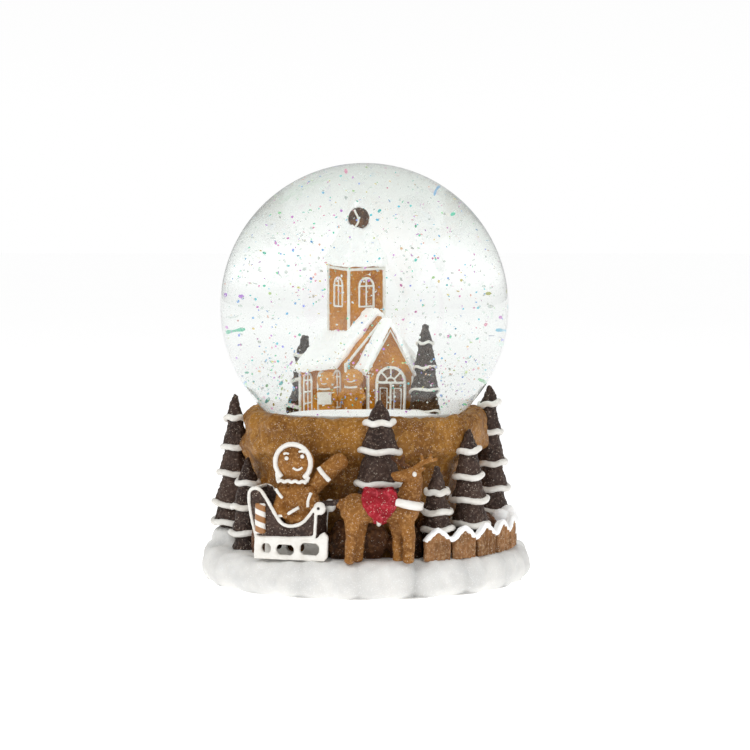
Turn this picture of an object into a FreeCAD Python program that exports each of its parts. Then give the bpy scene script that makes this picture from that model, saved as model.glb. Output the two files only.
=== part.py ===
"""A musical gingerbread snow globe: water-filled glass ball, cast base and wind-up movement.

The origin is the centre of the underside, on the surface that the rest pads stand on.  +Z is up and
the front, with the sleigh and the reindeer, faces -Y.  All sizes are millimetres and degrees.
"""
import FreeCAD, Part

import math
import os

import Sketcher
from FreeCAD import Placement, Rotation, Vector

# ---------------------------------------------------------------- driving sizes

SIZES = {
    # glass ball and its stopper
    "globe_radius": 50.0,
    "glass_wall": 2.5,
    "neck_radius": 30.0,
    "neck_length": 7.0,
    "stopper_rise": 10.0,
    "stopper_flange": 2.0,
    # cast gingerbread drum
    "drum_radius": 42.0,
    "drum_waist": 35.5,
    "drum_height": 59.0,
    "drum_band": 13.0,
    "drum_edge": 3.0,
    "seat_radius": 35.5,
    "bay_radius": 31.0,
    "shelf_hole_radius": 20.0,
    "shelf_thickness": 2.0,
    # snow base
    "base_ledge": 12.6,
    "base_thickness": 12.0,
    "snow_lobes": 18.0,
    "lobe_reach": 3.9,
    "lobe_depth": 2.6,
    "skirt_radius": 39.5,
    "pad_height": 0.6,
    "pad_radius": 5.0,
    "pad_ring": 47.0,
    # floor of the movement bay
    "recess_radius": 36.0,
    "recess_depth": 11.0,
    "floor_thickness": 2.5,
    "floor_screw_ring": 33.5,
    "floor_screw_radius": 1.1,
    # musical movement
    "bedplate_length": 44.0,
    "bedplate_width": 37.0,
    "bedplate_thickness": 2.5,
    "key_offset": 9.0,
    "arbor_radius": 1.75,
    "key_span": 24.0,
    "key_height": 8.0,
    "key_thickness": 1.8,
    "drum_spring_radius": 10.5,
    "drum_spring_height": 8.0,
    "drum_spring_wall": 0.8,
    "crown_teeth": 32.0,
    "crown_tooth_height": 1.3,
    "cylinder_radius": 6.0,
    "cylinder_length": 13.0,
    "cylinder_pinion_teeth": 16.0,
    "cylinder_pinion_radius": 5.0,
    "cylinder_wheel_teeth": 32.0,
    "cylinder_wheel_radius": 7.3,
    "governor_pinion_teeth": 10.0,
    "governor_pinion_radius": 2.5,
    "governor_wheel_teeth": 24.0,
    "governor_wheel_radius": 3.6,
    "worm_radius": 1.2,
    "worm_starts": 2.0,
    "fan_radius": 4.4,
    "fan_height": 4.0,
    "tooth_depth": 0.7,
    "mesh_depth": 0.6,
    "pin_height": 0.35,
    "post_thickness": 1.0,
    "comb_reach": 9.0,
    "comb_tines": 18.0,
    "shaft_radius": 0.75,
    "running_gap": 0.05,
    "seat_gap": 0.1,
    # snow ground and church inside the ball
    "ground_radius": 26.5,
    "ground_height": 7.0,
    "church_turn": 28.0,
    "church_x": -2.0,
    "church_y": 6.0,
    "nave_width": 22.0,
    "nave_length": 23.0,
    "nave_front": 14.0,
    "nave_wall_height": 15.0,
    "nave_roof_rise": 13.0,
    "roof_snow": 2.2,
    "roof_overhang": 1.6,
    "porch_width": 14.0,
    "porch_depth": 5.5,
    "porch_wall_height": 12.5,
    "porch_roof_rise": 13.0,
    "door_width": 9.0,
    "door_height": 14.0,
    "icing_thickness": 0.6,
    "tower_width": 10.3,
    "tower_height": 40.5,
    "spire_height": 16.5,
    "spire_overhang": 1.0,
    "spire_ball_radius": 2.7,
    "window_width": 4.4,
    "window_height": 9.0,
    "inner_tree_radius": 6.0,
    "inner_tree_height": 27.0,
    "couple_height": 11.5,
    "couple_width": 5.6,
    # outer trees: overall size of the largest, and how deep their tiers step in
    "tree_step": 0.74,
    "tree_tiers": 5.0,
    # picket fence
    "picket_width": 9.8,
    "picket_height": 9.2,
    "picket_thickness": 2.6,
    "picket_gap": 10.2,
    "picket_pitch": 11.8,
    "fence_start": 27.5,
    # sleigh
    "sleigh_length": 22.0,
    "sleigh_width": 8.6,
    "sleigh_x": -23.6,
    "sleigh_gap": 1.0,
    "sleigh_turn": -22.0,
    "sleigh_floor": 7.6,
    "sleigh_back_height": 24.0,
    "sleigh_front_height": 18.0,
    "sleigh_waist_height": 12.4,
    "runner_thickness": 1.6,
    "runner_height": 7.0,
    "candy_radius": 1.7,
    "candy_height": 10.0,
    "candy_foot": 8.8,
    # rider
    "head_radius": 6.4,
    "head_thickness": 3.2,
    "body_width": 11.5,
    "body_height": 17.4,
    "body_thickness": 5.0,
    "arm_length": 17.0,
    "arm_radius": 1.9,
    # reindeer
    "deer_x": 5.0,
    "deer_gap": 10.3,
    "deer_length": 21.5,
    "deer_body_radius": 4.6,
    "deer_body_height": 19.4,
    "deer_leg_radius": 1.8,
    "deer_neck_length": 8.8,
    "deer_head_length": 7.6,
    "antler_radius": 0.75,
    "blanket_thickness": 0.7,
    "blanket_width": 10.6,
    "girth_width": 2.0,
    "collar_thickness": 0.8,
    "pole_radius": 0.9,
}

# Outer trees: name, angle round the drum from the front, gap from the drum's side to the axis, then the
# foot and the tip above the snow and the largest radius.
TREES = [
    ("left_tall_tree", -91.3, 3.01, 0.0, 51.4, 8.8),
    ("left_small_tree", -66.3, 1.7, 0.0, 31.1, 6.4),
    ("front_tree", 7.2, -0.27, 23.3, 52.4, 7.6),
    ("right_tall_tree", 53.2, 2.22, 0.0, 42.0, 6.3),
    ("right_small_tree", 32.4, 3.22, 0.0, 30.4, 5.3),
    ("right_back_tree", 96.0, 1.84, 0.0, 54.4, 7.6),
    ("right_rear_tree", 112.9, 8.37, 0.0, 31.4, 5.6),
    ("back_tall_tree", -145.6, 4.04, 0.0, 49.4, 8.2),
    ("back_small_tree", 169.2, 5.85, 0.0, 33.4, 6.4),
]

# Boulders of rock and broken gingerbread: angle, gap from the drum's waist and height of the middle above the
# snow, then half the width round the drum, half the depth and half the height.
BOULDERS = [
    (3.6, 5.58, 7.4, 5.6, 5.2, 16.4),
    (-10.6, 5.81, 4.4, 4.1, 4.2, 9.0),
    (-48.3, 7.35, 4.9, 6.0, 6.0, 9.5),
    (19.0, 6.37, 4.4, 5.4, 4.4, 8.5),
    (72.0, 6.56, 3.9, 6.8, 6.4, 8.5),
    (135.0, 8.34, 3.9, 8.0, 7.0, 8.5),
    (-169.6, 8.73, 3.4, 7.5, 6.0, 8.0),
    (-117.1, 12.8, 3.9, 8.0, 7.0, 8.5),
]

Z_AXIS = Vector(0, 0, 1)
Y_AXIS = Vector(0, 1, 0)
X_AXIS = Vector(1, 0, 0)


class Size:
    """A length or angle that knows its present value and the sheet formula it comes from."""

    def __init__(self, value, formula):
        self.value = value
        self.formula = formula

    @staticmethod
    def of(other):
        """Return a plain number as a Size, and a Size as it is."""
        if isinstance(other, Size):
            return other
        return Size(float(other), "%.6f" % other)

    def join(self, other, sign, value):
        """Return the Size whose formula joins this one and another with a sign."""
        return Size(value, "(%s %s %s)" % (self.formula, sign, other.formula))

    def __add__(self, other):
        other = Size.of(other)
        return self.join(other, "+", self.value + other.value)

    def __sub__(self, other):
        other = Size.of(other)
        return self.join(other, "-", self.value - other.value)

    def __mul__(self, other):
        other = Size.of(other)
        return self.join(other, "*", self.value * other.value)

    def __truediv__(self, other):
        other = Size.of(other)
        return self.join(other, "/", self.value / other.value)

    def __radd__(self, other):
        return Size.of(other) + self

    def __rsub__(self, other):
        return Size.of(other) - self

    def __rmul__(self, other):
        return Size.of(other) * self

    def __rtruediv__(self, other):
        return Size.of(other) / self

    def __neg__(self):
        return Size.of(0) - self


def root(size):
    """Return the square root of a Size."""
    return Size(math.sqrt(size.value), "sqrt(%s)" % size.formula)


def cosine(angle):
    """Return the cosine of an angle in degrees."""
    angle = Size.of(angle)
    return Size(math.cos(math.radians(angle.value)), "cos(%s * 1 deg)" % angle.formula)


def sine(angle):
    """Return the sine of an angle in degrees."""
    angle = Size.of(angle)
    return Size(math.sin(math.radians(angle.value)), "sin(%s * 1 deg)" % angle.formula)


doc = FreeCAD.newDocument("snow_globe")
sheet = doc.addObject("Spreadsheet::Sheet", "Sizes")
for row, (size_name, size_value) in enumerate(SIZES.items(), start=1):
    sheet.set("A%d" % row, size_name)
    sheet.set("B%d" % row, str(size_value))
    sheet.setAlias("B%d" % row, size_name)
doc.recompute()


def size(name):
    """Return the driving size of that name, bound to its cell."""
    return Size(SIZES[name], "Sizes.%s" % name)


# ---------------------------------------------------------------- helpers

PIECES = []


def piece(item, label):
    """Register an object as a finished sub-part and give it its own label."""
    item.Label = label
    PIECES.append(item)
    return item


def place(item, x=0.0, y=0.0, z=0.0, turn=0.0, axis=Z_AXIS):
    """Bind an object's placement to sizes: a position and one turn about an axis."""
    turn = Size.of(turn)
    item.Placement = Placement(Vector(0, 0, 0), Rotation(axis, turn.value))
    for letter, coordinate in zip("xyz", (x, y, z)):
        item.setExpression("Placement.Base." + letter, Size.of(coordinate).formula)
    if turn.value:
        item.setExpression("Placement.Rotation.Angle", turn.formula)
    return item


def primitive(kind, name, sizes, **where):
    """Make a Part primitive with every size bound to the sheet."""
    item = doc.addObject("Part::" + kind, name)
    for key, value in sizes.items():
        item.setExpression(key, Size.of(value).formula)
    return place(item, **where)


def cylinder(name, radius, height, **where):
    """A round bar standing on its place."""
    return primitive("Cylinder", name, {"Radius": radius, "Height": height}, **where)


def box(name, length, width, height, x=0.0, y=0.0, z=0.0, **turned):
    """A block centred on x and y, standing at z, before any turn."""
    item = primitive("Box", name, {"Length": length, "Width": width, "Height": height})
    centred = [Size.of(x) - Size.of(length) / 2, Size.of(y) - Size.of(width) / 2, z]
    return place(item, *centred, **turned)


def ellipsoid(name, x_half, y_half, z_half, **where):
    """An ellipsoid centred on its place."""
    sizes = {"Radius1": z_half, "Radius2": x_half, "Radius3": y_half}
    return primitive("Ellipsoid", name, sizes, **where)


def sphere(name, radius, **where):
    """A ball centred on its place."""
    return primitive("Sphere", name, {"Radius": radius}, **where)


def limb(name, start_radius, end_radius, start, end):
    """A tapered bar from one point to another, both given as three sizes."""
    start = [Size.of(value) for value in start]
    end = [Size.of(value) for value in end]
    spans = [b - a for a, b in zip(start, end)]
    length = root(spans[0] * spans[0] + spans[1] * spans[1] + spans[2] * spans[2])
    item = primitive("Cone", name, {"Radius1": start_radius, "Radius2": end_radius, "Height": length})
    direction = Vector(spans[0].value, spans[1].value, spans[2].value)
    rotation = Rotation(Z_AXIS, direction)
    item.Placement = Placement(Vector(0, 0, 0), rotation)
    for letter, coordinate in zip("xyz", start):
        item.setExpression("Placement.Base." + letter, coordinate.formula)
    return item


def fused(name, items):
    """Join several objects into one solid."""
    item = doc.addObject("Part::MultiFuse", name)
    item.Shapes = items
    return item


def cut(name, base, tool):
    """Take one object away from another."""
    item = doc.addObject("Part::Cut", name)
    item.Base = base
    item.Tool = tool
    return item


def cut_all(name, base, tools):
    """Take several objects away from another, one after the other."""
    for number, tool in enumerate(tools):
        base = cut("%s_less_%d" % (name, number), base, tool)
    return base


def common(name, base, tool):
    """Keep what two objects share."""
    item = doc.addObject("Part::Common", name)
    item.Base = base
    item.Tool = tool
    return item


def group(name, items):
    """Hold several separate solids as one node."""
    item = doc.addObject("Part::Compound", name)
    item.Links = items
    return item


def outline(body, role, points):
    """Draw a closed straight-sided outline on one of a body's origin planes, fully bound."""
    plane = [feature for feature in body.Origin.OriginFeatures if feature.Role == role][0]
    sketch = body.newObject("Sketcher::SketchObject", body.Name + "_sketch")
    sketch.AttachmentSupport = (plane, [""])
    sketch.MapMode = "FlatFace"
    points = [(Size.of(across), Size.of(up)) for across, up in points]
    corners = [Vector(across.value, up.value, 0) for across, up in points]
    for index, corner in enumerate(corners):
        following = corners[(index + 1) % len(corners)]
        sketch.addGeometry(Part.LineSegment(corner, following), False)
    for index, (across, up) in enumerate(points):
        following = (index + 1) % len(points)
        sketch.addConstraint(Sketcher.Constraint("Coincident", index, 2, following, 1))
        for kind, coordinate in (("DistanceX", across), ("DistanceY", up)):
            constraint = Sketcher.Constraint(kind, -1, 1, index, 1, coordinate.value)
            number = sketch.addConstraint(constraint)
            sketch.setExpression("Constraints[%d]" % number, coordinate.formula)
    return sketch


def revolved(name, points, **where):
    """A body turned about Z from an outline of radius and height pairs."""
    body = doc.addObject("PartDesign::Body", name)
    sketch = outline(body, "XZ_Plane", points)
    turned = body.newObject("PartDesign::Revolution", name + "_turned")
    turned.Profile = sketch
    turned.ReferenceAxis = (sketch, ["V_Axis"])
    turned.Angle = 360.0
    return place(body, **where)


def slab(name, points, thickness, role="XZ_Plane", **where):
    """A body padded to both sides of one of its planes from an outline."""
    body = doc.addObject("PartDesign::Body", name)
    sketch = outline(body, role, points)
    pad = body.newObject("PartDesign::Pad", name + "_pad")
    pad.Profile = sketch
    pad.SideType = "Symmetric"
    pad.setExpression("Length", Size.of(thickness).formula)
    return place(body, **where)


def toothed_wheel(name, root_radius, tip_radius, thickness, teeth, tooth_share, **where):
    """A spur wheel: a turned disc with one padded tooth repeated round it."""
    body = doc.addObject("PartDesign::Body", name)
    root_radius = Size.of(root_radius)
    half = Size.of(thickness) / 2
    disc = outline(body, "XZ_Plane", [(0, -half), (root_radius, -half), (root_radius, half), (0, half)])
    turned = body.newObject("PartDesign::Revolution", name + "_disc")
    turned.Profile = disc
    turned.ReferenceAxis = (disc, ["V_Axis"])
    turned.Angle = 360.0
    pitch = 2 * math.pi * Size.of(tip_radius) / Size.of(teeth)
    foot = pitch * tooth_share / 2
    tip = foot * 0.5
    sunk = root_radius * 0.9
    tooth = outline(body, "XY_Plane", [(sunk, -foot), (tip_radius, -tip), (tip_radius, tip), (sunk, foot)])
    pad = body.newObject("PartDesign::Pad", name + "_tooth")
    pad.Profile = tooth
    pad.SideType = "Symmetric"
    pad.setExpression("Length", Size.of(thickness).formula)
    doc.recompute()
    pattern = body.newObject("PartDesign::PolarPattern", name + "_teeth")
    pattern.Originals = [pad]
    pattern.Axis = (disc, ["V_Axis"])
    pattern.Angle = 360.0
    pattern.setExpression("Occurrences", Size.of(teeth).formula)
    body.Tip = pattern
    return place(body, **where)


# ---------------------------------------------------------------- heights that follow from the sizes

base_bottom = size("pad_height")
snow_top = base_bottom + size("base_thickness")
ledge_height = base_bottom + size("recess_depth") + size("floor_thickness")
seat_circle = size("globe_radius") * size("globe_radius") - size("seat_radius") * size("seat_radius")
globe_centre = size("drum_height") + root(seat_circle)
inner_radius = size("globe_radius") - size("glass_wall")
neck_inner = size("neck_radius") - size("glass_wall")
neck_circle = size("globe_radius") * size("globe_radius") - size("neck_radius") * size("neck_radius")
neck_bottom = globe_centre - root(neck_circle) - size("neck_length")
shelf_top = neck_bottom - size("stopper_flange")
shelf_bottom = shelf_top - size("shelf_thickness")
stopper_top = neck_bottom + size("stopper_rise")
ground_top = stopper_top + size("ground_height")


# ---------------------------------------------------------------- glass ball, stopper and what fills it

def ball_shape(name, radius, neck_radius, neck_low, neck_high):
    """A ball with a neck below it, both solid."""
    ball = sphere(name + "_ball", radius, z=globe_centre)
    neck = cylinder(name + "_neck", neck_radius, neck_high - neck_low, z=neck_low)
    return fused(name + "_outline", [ball, neck])


def make_globe():
    """Blow the glass ball with its open neck."""
    neck_high = neck_bottom + size("neck_length") + 1.5
    outside = ball_shape("glass_outside", size("globe_radius"), size("neck_radius"), neck_bottom, neck_high)
    inside = ball_shape("glass_inside", inner_radius, neck_inner, neck_bottom - 8, neck_high + 4)
    piece(cut("glass", outside, inside), "glass_globe")


def make_stopper():
    """Turn the rubber stopper that plugs the neck and carries the figurine."""
    fit = neck_inner - size("running_gap")
    flange = size("neck_radius")
    points = [(0, shelf_top), (flange, shelf_top), (flange, neck_bottom),
              (fit, neck_bottom), (fit, stopper_top), (0, stopper_top)]
    return piece(revolved("stopper", points), "globe_stopper")


def make_ground():
    """Turn the snow-covered ground that the church stands on."""
    reach = size("ground_radius")
    height = size("ground_height")
    points = [(0, stopper_top), (reach, stopper_top), (reach, stopper_top + height * 0.35),
              (reach * 0.93, stopper_top + height * 0.66), (reach * 0.84, ground_top), (0, ground_top)]
    return piece(revolved("ground", points), "figure_ground")


def make_settled_snow():
    """Turn the ring of loose flakes that lies between the ground and the glass."""
    inside = size("ground_radius") + 0.2
    top = stopper_top + size("ground_height") * 0.45
    low_drop = globe_centre - stopper_top - 0.4
    top_drop = globe_centre - top
    wall = inner_radius - size("seat_gap") * 3
    low_reach = root(wall * wall - low_drop * low_drop)
    top_reach = root(wall * wall - top_drop * top_drop) - 0.1
    points = [(inside, stopper_top + 0.4), (low_reach, stopper_top + 0.4), (top_reach, top - 0.4),
              (top_reach - 1.5, top), (inside, top - 1.2)]
    return piece(revolved("settled", points), "settled_snow")


def in_church(item, along, deep, height, turn=0.0):
    """Place an item in the church's own turned frame, whose origin is the tower's axis."""
    angle = size("church_turn")
    along = Size.of(along)
    deep = Size.of(deep)
    across_x = size("church_x") + along * cosine(angle) - deep * sine(angle)
    across_y = size("church_y") + along * sine(angle) + deep * cosine(angle)
    return place(item, x=across_x, y=across_y, z=height, turn=angle + turn)


def gable(name, width, wall, rise, depth):
    """A pentagonal slab: a house end with a pitched top, padded through its depth."""
    half = Size.of(width) / 2
    points = [(-half, 0), (half, 0), (half, wall), (0, wall + rise), (-half, wall)]
    return slab(name, points, depth)


def roof_outline(width, wall, rise, thickness, overhang):
    """The outline of a snow blanket lying over a pitched roof, thicker at the eaves."""
    half = Size.of(width) / 2
    reach = half + overhang
    slope = Size.of(rise) / half
    eave = wall - overhang * slope
    return [(half, wall), (reach, eave), (reach + thickness * 0.5, eave + thickness * 0.9),
            (0, wall + rise + thickness), (-reach - thickness * 0.5, eave + thickness * 0.9),
            (-reach, eave), (-half, wall), (0, wall + rise)]


def make_church():
    """Build the church inside the ball and return every piece of it."""
    pieces = []
    front = size("nave_front")
    length = size("nave_length")
    nave_middle = length / 2 - front
    tower_half = size("tower_width") / 2
    porch_middle = -front - size("porch_depth") / 2
    tower_block = box("tower_block", size("tower_width"), size("tower_width"), size("tower_height"))
    in_church(tower_block, -tower_half, -tower_half, ground_top)
    pieces.append(piece(tower_block, "church_tower"))

    nave = gable("nave", size("nave_width"), size("nave_wall_height"), size("nave_roof_rise"), length)
    in_church(nave, 0, nave_middle, ground_top)
    pieces.append(piece(cut("nave_cut", nave, tower_block), "church_nave"))

    nave_snow = slab("nave_snow", roof_outline(size("nave_width"), size("nave_wall_height"),
                     size("nave_roof_rise"), size("roof_snow"), size("roof_overhang")),
                     length - 2.4)
    in_church(nave_snow, 0, nave_middle + 0.6, ground_top)
    pieces.append(piece(cut("nave_snow_cut", nave_snow, tower_block), "nave_roof_snow"))

    porch = gable("porch", size("porch_width"), size("porch_wall_height"), size("porch_roof_rise"),
                  size("porch_depth"))
    in_church(porch, 0, porch_middle, ground_top)
    pieces.append(piece(porch, "church_porch"))

    porch_snow = slab("porch_snow", roof_outline(size("porch_width"), size("porch_wall_height"),
                      size("porch_roof_rise"), size("roof_snow"), 0.8), size("porch_depth") + 0.6)
    in_church(porch_snow, 0, porch_middle - 0.35, ground_top)
    pieces.append(piece(porch_snow, "porch_roof_snow"))

    half = size("door_width") / 2
    shoulder = size("door_height") - half
    arch = [(-half, 0), (half, 0), (half, shoulder), (half * 0.71, shoulder + half * 0.71),
            (0, size("door_height")), (-half * 0.71, shoulder + half * 0.71), (-half, shoulder)]
    door = slab("door", arch, size("icing_thickness"))
    in_church(door, 0, porch_middle - size("porch_depth") / 2 - size("icing_thickness") / 2, ground_top)
    pieces.append(piece(door, "church_door"))

    spire_foot = tower_half + size("spire_overhang")
    tower_top = ground_top + size("tower_height")
    spire = doc.addObject("Part::Feature", "spire")
    points = [Vector(-1, -1, 0), Vector(1, -1, 0), Vector(1, 1, 0), Vector(-1, 1, 0)]
    reach = spire_foot.value
    foot = Part.makePolygon([corner * reach for corner in points + points[:1]])
    lip = Part.makePolygon([corner * reach + Z_AXIS * 1.6 for corner in points + points[:1]])
    rise = Z_AXIS * size("spire_height").value
    tip = Part.makePolygon([corner * 0.45 + rise for corner in points + points[:1]])
    eaves = Part.makeLoft([foot, lip], True, True)
    spire.Shape = eaves.fuse(Part.makeLoft([lip, tip], True, True)).removeSplitter()
    in_church(spire, 0, 0, tower_top)
    spire_tool = sphere("spire_ball_tool", size("spire_ball_radius") + 0.02)
    ball_height = tower_top + size("spire_height") * 0.74
    in_church(spire_tool, 0, -1.2, ball_height)
    pieces.append(piece(cut("spire_cut", spire, spire_tool), "tower_spire"))
    ball = sphere("spire_ball", size("spire_ball_radius"))
    in_church(ball, 0, -1.2, ball_height)
    pieces.append(piece(ball, "spire_ornament"))

    pane_half = size("window_width") / 2
    pane_height = size("window_height")
    pane_points = [(-pane_half, 0), (pane_half, 0), (pane_half, pane_height * 0.72), (0, pane_height),
                   (-pane_half, pane_height * 0.72)]
    proud = size("icing_thickness") / 2 + 0.01
    spots = [
        (0.0, -tower_half - proud, ground_top + size("tower_height") * 0.73, 0.0),
        (-tower_half - proud, 0.0, ground_top + size("tower_height") * 0.73, 90.0),
        (-size("nave_width") / 2 - proud, 3.0, ground_top + 3, 90.0),
        (-size("nave_width") / 2 - proud, -6.0, ground_top + 3, 90.0),
    ]
    panes = []
    for number, (along, deep, height, turn) in enumerate(spots):
        pane = slab("pane_%d" % number, pane_points, size("icing_thickness"))
        in_church(pane, along, deep, height, turn)
        panes.append(cut("pane_clear_%d" % number, pane, nave_snow))
    pieces.append(piece(group("panes", panes), "icing_windows"))
    return pieces


def tiered_tree(name, radius, height, tiers, **where):
    """A cone of icing tiers, each with a proud lower edge."""
    step = size("tree_step")
    tier_height = Size.of(height) / tiers
    count = int(tiers.value)
    points = [(0, 0), (radius * 0.82, 0)]
    for tier in range(count):
        share = 1.0 - tier / count
        edge = radius * (share ** 0.85)
        points.append((edge, tier_height * (tier + 0.12)))
        points.append((edge * 0.97, tier_height * (tier + 0.3)))
        if tier < count - 1:
            inner = radius * ((share - 1.0 / count) ** 0.85) * step
            points.append((inner, tier_height * (tier + 1.0)))
    points.append((0, height))
    return revolved(name, points, **where)


def make_inner_trees(church):
    """Stand the two small trees beside the church, trimmed where they lean on it."""
    trees = []
    tiers = size("tree_tiers") - 1
    places = (("inner_right_tree", 16.8, -9.4, 0.96), ("inner_left_tree", -14.6, 15.2, 0.84))
    for name, across, deep, share in places:
        radius = size("inner_tree_radius") * share
        tree = tiered_tree(name + "_cone", radius, size("inner_tree_height") * share,
                           tiers, x=across, y=deep, z=ground_top)
        trees.append(piece(cut_all(name + "_trimmed", tree, church), name))
    return trees


def make_couple():
    """Stand the two gingerbread people in front of the church wall."""
    people = []
    height = size("couple_height")
    width = size("couple_width")
    for name, across, deep, turn, share in (("gingerbread_girl", -10.6, -14.6, -22.0, 0.94),
                                            ("gingerbread_boy", -3.3, -16.6, -8.0, 1.0)):
        tall = height * share
        head = sphere(name + "_head", width * 0.46, z=tall - width * 0.42)
        body = ellipsoid(name + "_body", width * 0.5, width * 0.34, tall * 0.35, z=tall * 0.37)
        feet = box(name + "_feet", width * 0.7, width * 0.5, tall * 0.2)
        whole = fused(name + "_whole", [head, body, feet])
        people.append(piece(place(whole, x=across, y=deep, z=ground_top, turn=turn), name))
    return people


def make_water(contents):
    """Fill the ball with water round everything that stands in it."""
    neck_high = neck_bottom + size("neck_length") + 5.5
    filled = ball_shape("water_fill", inner_radius, neck_inner, stopper_top, neck_high)
    below = cylinder("water_below", size("globe_radius"), stopper_top)
    piece(cut_all("water", filled, [below] + contents), "globe_water")


# ---------------------------------------------------------------- cast base

def drum_outline():
    """The drum's outside from its skirt to its rim, as radius and height pairs."""
    radius = size("drum_radius")
    top = size("drum_height")
    edge = size("drum_edge")
    waist = size("drum_waist")
    band_low = top - size("drum_band")
    return [(size("skirt_radius"), base_bottom), (size("skirt_radius"), snow_top),
            (waist + 1.5, snow_top + 6), (waist, (snow_top + band_low) / 2 + 1), (waist + 2.5, band_low - 4),
            (radius, band_low + 1), (radius, top - edge), (radius - edge * 0.35, top - edge * 0.3),
            (radius - edge, top)]


def make_drum():
    """Cast the gingerbread drum, hollow for the movement and cupped for the ball."""
    clear = size("globe_radius") + 0.3
    cup_radius = size("neck_radius") + 0.6
    seat_high = globe_centre - root(clear * clear - size("seat_radius") * size("seat_radius"))
    seat_low = globe_centre - root(clear * clear - cup_radius * cup_radius)
    bay = size("bay_radius")
    inside = [(size("seat_radius"), seat_high), (cup_radius, seat_low), (cup_radius, shelf_top),
              (size("shelf_hole_radius"), shelf_top), (size("shelf_hole_radius"), shelf_bottom),
              (bay, shelf_bottom), (bay, ledge_height), (size("recess_radius"), ledge_height),
              (size("recess_radius"), base_bottom)]
    shell = revolved("drum_shell", drum_outline() + inside)
    holes = []
    for number in range(4):
        angle = 45.0 + 90.0 * number
        holes.append(cylinder("floor_hole_%d" % number, size("floor_screw_radius"), 5,
                              x=size("floor_screw_ring") * cosine(angle),
                              y=size("floor_screw_ring") * sine(angle), z=ledge_height - 0.5))
    piece(cut("drum", shell, fused("floor_holes", holes)), "gingerbread_drum")


def lobed_outline(inset, height):
    """A ring of equal round lobes, as one closed wire of arcs at a height."""
    count = int(SIZES["snow_lobes"])
    ring = SIZES["drum_radius"] + SIZES["base_ledge"]
    peak = ring + SIZES["lobe_reach"] - inset
    valley = ring + SIZES["lobe_reach"] - SIZES["lobe_depth"] - inset
    step = 2 * math.pi / count

    def spot(reach, number):
        angle = step * number - math.radians(2)
        return Vector(reach * math.cos(angle), reach * math.sin(angle), height)

    arcs = []
    for number in range(count):
        lobe = Part.Arc(spot(valley, number), spot(peak, number + 0.5), spot(valley, number + 1))
        arcs.append(lobe.toShape())
    return Part.Wire(arcs)


def make_snow_base():
    """Cast the snow ring with its rounded lobes, and return the drifts that lie on it."""
    top = snow_top.value
    low = base_bottom.value
    levels = [(2.6, low), (0.5, low + 2), (0.0, low + 4.5), (0.4, top - 4), (1.6, top - 1.6), (4.0, top)]
    lobed = doc.addObject("Part::Feature", "lobed_disc")
    lobed.Shape = Part.makeLoft([lobed_outline(inset, height) for inset, height in levels], True, True)
    core = cylinder("snow_core", size("skirt_radius"), 60)
    ring = cut("snow_ring", lobed, core)
    above = cylinder("snow_room", 90, 60, z=snow_top)
    outlines = [
        ellipsoid("left_drift", 6.2, 12.5, 6, x=-47.6, y=3, z=snow_top),
        ellipsoid("right_drift", 5.0, 9.5, 7, x=48.6, y=11, z=snow_top),
        ellipsoid("back_drift", 17, 5.8, 5, x=-4, y=46.6, z=snow_top),
    ]
    drifts = [common(item.Name + "_above", item, above) for item in outlines]
    piece(fused("snow_whole", [ring] + drifts), "snow_base")
    return drifts


def make_scenery(drifts):
    """Set the trees and boulders round the drum, each trimmed to what it is moulded against."""
    drum_body = revolved("drum_body", drum_outline() + [(0, size("drum_height")), (0, base_bottom)])
    rooted = [drum_body] + drifts
    trees = []
    for name, angle, gap, foot, tip, radius in TREES:
        tree = tiered_tree(name + "_cone", Size.of(radius), tip - foot, size("tree_tiers"))
        round_drum(tree, size("drum_radius") + gap, angle, snow_top + foot)
        trees.append(piece(cut_all(name + "_trimmed", tree, rooted), name))
    stones = []
    for number, (angle, gap, height, half_width, half_depth, half_height) in enumerate(BOULDERS):
        stone = ellipsoid("stone_%d" % number, half_width, half_depth, half_height)
        stones.append(round_drum(stone, size("drum_waist") + gap, angle, snow_top + height))
    high_snow = cylinder("stone_room", 80, 60, z=snow_top)
    above = [common("stone_above_%d" % number, stone, high_snow) for number, stone in enumerate(stones)]
    clear = []
    for number, stone in enumerate(above):
        clear.append(cut_all("stone_clear_%d" % number, stone, rooted + trees + clear))
    piece(group("stones", clear), "gingerbread_rocks")


def round_drum(item, ring, angle, height):
    """Place an item on a ring round the drum, its face outward; 0 is the front, positive to the right."""
    angle = Size.of(angle)
    return place(item, x=ring * sine(angle), y=-(Size.of(ring) * cosine(angle)), z=height, turn=angle)


def make_fence():
    """Stand the five gingerbread pickets and lay the icing along their tops."""
    half = size("picket_width") / 2
    tall = size("picket_height")
    picket = [(-half, 0), (half, 0), (half, tall * 0.72), (0, tall), (-half, tall * 0.72)]
    cap = [(-half - 0.2, tall * 0.70), (-half - 0.2, tall * 0.76), (0, tall + 1.0), (half + 0.2, tall * 0.76),
           (half + 0.2, tall * 0.70), (0, tall + 0.02)]
    posts = []
    caps = []
    for number in range(5):
        angle = size("fence_start") + size("picket_pitch") * number
        post = slab("picket_%d" % number, picket, size("picket_thickness"))
        posts.append(round_drum(post, size("drum_radius") + size("picket_gap"), angle, snow_top))
        snow = slab("picket_cap_%d" % number, cap, size("picket_thickness") - 0.2)
        round_drum(snow, size("drum_radius") + size("picket_gap"), angle, snow_top)
        caps.append(cut("picket_snow_%d" % number, snow, post))
    piece(group("pickets", posts), "fence_pickets")
    piece(group("picket_snow", caps), "fence_icing")


# ---------------------------------------------------------------- sleigh and rider

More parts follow.
